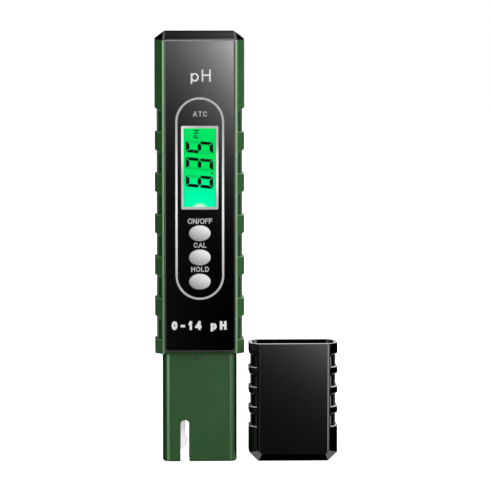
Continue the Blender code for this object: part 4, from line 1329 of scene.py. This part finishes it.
def black_sleeve_cap():
    """The faceted cup that slides over the sleeve, with grip notches on both sides."""
    samples = grip_section(CAP_CORNER, CAP_NOTCHES, 0.0)
    rows = []
    end = 0.18
    for z in grip_rows(0.0, CAP_TOP, CAP_NOTCHES, end):
        drawn_in = end_inset(z, -5.0, CAP_TOP, end)
        back_right = grip_ring(samples, z, CAP_NOTCHES, drawn_in)
        back = back_right + [(-x, y, z) for x, y, z in back_right[-2::-1]]
        rows.append(back + [(x, -y, z) for x, y, z in back[-2:0:-1]])
    bm = skin(rows)
    side_x, front_y = CAP_CORNER[0][0], CAP_CORNER[-1][1]
    a, b, c = (Vector(point) for point in CAP_CORNER_CUT)
    corner = (b - a).cross(c - b)
    if corner.z > 0:
        corner.negate()
    for sx in (-1, 1):
        slice_off(bm, (sx * side_x, 0, CAP_SIDE_CUT), (sx * CAP_SIDE_CUT, 0, CAP_BASE_HALF[0] - side_x))
        for sy in (-1, 1):
            slice_off(bm, (sx * a.x, -sy * a.y, a.z), (sx * corner.x, -sy * corner.y, corner.z))
    for sy in (-1, 1):
        slice_off(bm, (0, sy * front_y, CAP_FRONT_CUT), (0, sy * CAP_FRONT_CUT, CAP_BASE_HALF[1] - front_y))
    mouth, lip = sleeve_outline(0.2), 0.15
    wide, rim = ([(x * 1.075, y) for x, y in outline] for outline in (mouth, inset(mouth, -lip)))
    hollow = skin([level(mouth, CAP_FLOOR), level(mouth, CAP_TOP - 3), level(wide, CAP_TOP - lip),
                   level(rim, CAP_TOP), level(rim, CAP_TOP + 2)])
    piece("black_cup", carved(bm, hollow), "cap", "black_cap", ["protective_cap"], x=CAP_X, sharp=1)


def wet_sponge():
    """The sponge that keeps the bulb wet: a soft block, crowned on top."""
    low, high = limits("storage_sponge")
    size, thick = high - low, high.z - low.z
    rings = []
    for i in range(13):
        a = math.pi * i / 12
        draw = 1.1 * (1 - math.sin(a) ** 0.5)
        z = low.z + thick * (1 - math.cos(a)) / 2
        rings.append(level(rounded(size.x - 2 * draw - 0.2, size.y - 2 * draw - 0.2, 2.6 - 0.8 * draw, 8), z))
    made = piece("wet_sponge", skin(rings), "cap", "sponge", ["storage_sponge"], x=CAP_X, sharp=60)


# ---------------------------------------------------------------- stage, light and camera


def floor():
    """A plain white floor. The object neither reflects it nor gets light from it."""
    mesh = bpy.data.meshes.new("floor")
    half = 3.0
    corners = [(-half, -half, 0), (half, -half, 0), (half, half, 0), (-half, half, 0)]
    mesh.from_pydata(corners, [], [(0, 1, 2, 3)])
    made = bpy.data.objects.new("floor", mesh)
    bpy.context.scene.collection.objects.link(made)
    made.location.z = -0.00005
    made.visible_glossy = False
    made.visible_diffuse = False
    white = Surface("floor_white")
    white.set(base_color=white.varied((0.9, 0.9, 0.9), 0.005, 0.001), roughness=0.9,
              emission_color=(1.0, 1.0, 1.0), emission_strength=0.9)
    white.material.cycles.emission_sampling = "NONE"
    mesh.materials.append(white.material)


# Soft boxes, as (azimuth from, to, elevation from, to, softness, strength), in degrees.
# Azimuth 0 is straight in front of the object and 90 is its right. They are placed for the reflections
# of the front view. The mirrored ones stand on both sides, and also light the back.
BOXES = [
    (72.0, 92.0, -25.0, 45.0, 5.0, 6.0),
    (51.0, 66.0, -6.8, 45.0, 3.0, 2.0),
    (160.0, 178.4, 5.0, 22.0, 0.5, 1.2),
    (-62.0, -46.0, -4.5, 45.0, 3.0, 1.6),
    (-105.0, -82.0, -14.0, -7.4, 0.8, 0.3),
    (-43.0, -6.0, -30.0, 45.0, 8.0, 0.9),
    (-30.0, 30.0, -60.0, -28.0, 6.0, 0.3),
]
MIRRORED_BOXES = [
    (145.0, 190.0, 25.0, 55.0, 5.0, 0.12),
    (135.0, 162.0, -25.0, 8.0, 12.0, 0.5),
    (120.0, 190.0, 48.0, 60.0, 6.0, 2.5),
    (95.0, 150.0, -62.0, -35.0, 8.0, 1.4),
]
# How far round and up the edges of the key light lie, as the camera meets them in the panel
KEY_TURN, KEY_TILT = 2.0, 1.43


def studio():
    """White behind the object, and soft boxes that only light and reflections see."""
    world = bpy.data.worlds.new("studio")
    bpy.context.scene.world = world
    made = Tree(world)
    x, y, z = made.separate(made.add("ShaderNodeTexCoord").outputs["Generated"])
    azimuth = made.math("DEGREES", made.math("ARCTAN2", x, made.math("MULTIPLY", y, -1.0)))
    elevation = made.math("DEGREES", made.math("ARCSINE", z))
    either = made.size(azimuth)
    light = [0.001]
    for boxes, angle in ((BOXES, azimuth), (MIRRORED_BOXES, either)):
        for left, right, low, high, soft, strength in boxes:
            light.append(made.product(made.band(angle, left, right, soft),
                                      made.band(elevation, low, high, soft), strength))
    across = made.less(azimuth, KEY_TURN)
    up = made.less(elevation, KEY_TILT)
    # the key light, whose lower left edge fades across the panel
    down = made.smaller(made.math("ADD", up, 2.6), 0.0)
    fall = made.total(made.product(down, 0.9), made.product(down, down, -0.11))
    slope = made.total(made.product(made.math("ADD", across, 0.25), 1.34), fall)
    key = made.product(made.math("EXPONENT", made.smaller(slope, 0.0)), 10.4)
    light.append(made.product(key, made.rise(across, 8.0, 18.0, 1.0, 0.0),
                              made.rise(up, 14.0, 28.0, 1.0, 0.0)))
    # a second edge that fades across the cap
    slope = made.total(made.product(made.less(across, 1.52), 1.16),
                       made.product(made.math("ADD", up, 8.39), 1.8))
    edge = made.product(made.math("EXPONENT", made.smaller(slope, 0.3)), 1.72)
    light.append(made.product(made.math("ADD", edge, 0.09), made.rise(across, -0.15, 0.15),
                              made.rise(across, 3.0, 12.0, 1.0, 0.0), made.band(up, -14.0, -7.9, 0.9)))
    # overhead, brighter towards the back and the right
    side = made.smaller(made.larger(made.product(x, 52.0), 0.0), 2.0)
    over = made.product(made.rise(y, -0.15, 0.35, 0.08, 0.48), made.math("EXPONENT", made.less(side, 1.0)))
    light.append(made.product(over, made.rise(elevation, 62.0, 72.0)))
    seen_by_camera = made.add("ShaderNodeLightPath").outputs["Is Camera Ray"]
    strength = made.rise(seen_by_camera, 0.0, 1.0, made.total(*light), 1.0, smooth=False)
    background = made.nodes["Background"]
    background.inputs["Color"].default_value = (1.0, 1.0, 1.0, 1.0)
    made.put(background.inputs["Strength"], strength)


def camera():
    """A long lens, a little above the object, as for a catalogue picture."""
    distance, turned_left, raised = 1.04, math.radians(2.0), math.radians(5.0)
    target = Vector((0.0, 0.0, 0.07493))
    data = bpy.data.cameras.new("camera")
    data.lens, data.sensor_width = 218.34, 36.0
    data.clip_start, data.clip_end = 0.05, 20.0
    made = bpy.data.objects.new("camera", data)
    bpy.context.scene.collection.objects.link(made)
    level_back = Vector((-math.sin(turned_left), -math.cos(turned_left), 0.0))
    back = level_back * math.cos(raised) + Vector((0.0, 0.0, math.sin(raised)))
    made.location = target + back * distance
    made.rotation_euler = (-back).to_track_quat("-Z", "Y").to_euler()
    bpy.context.scene.camera = made
    bpy.context.scene.view_settings.view_transform = "Standard"


camera()
studio()
floor()
dress_cad_nodes()
front_casing()
rear_casing()
gloss_panel()
bezel()
trim_ring()
clear_window()
keys()
front_glass()
reading()
legends()
battery_lid()
green_sleeve()
milky_electrode()
black_sleeve_cap()
wet_sponge()
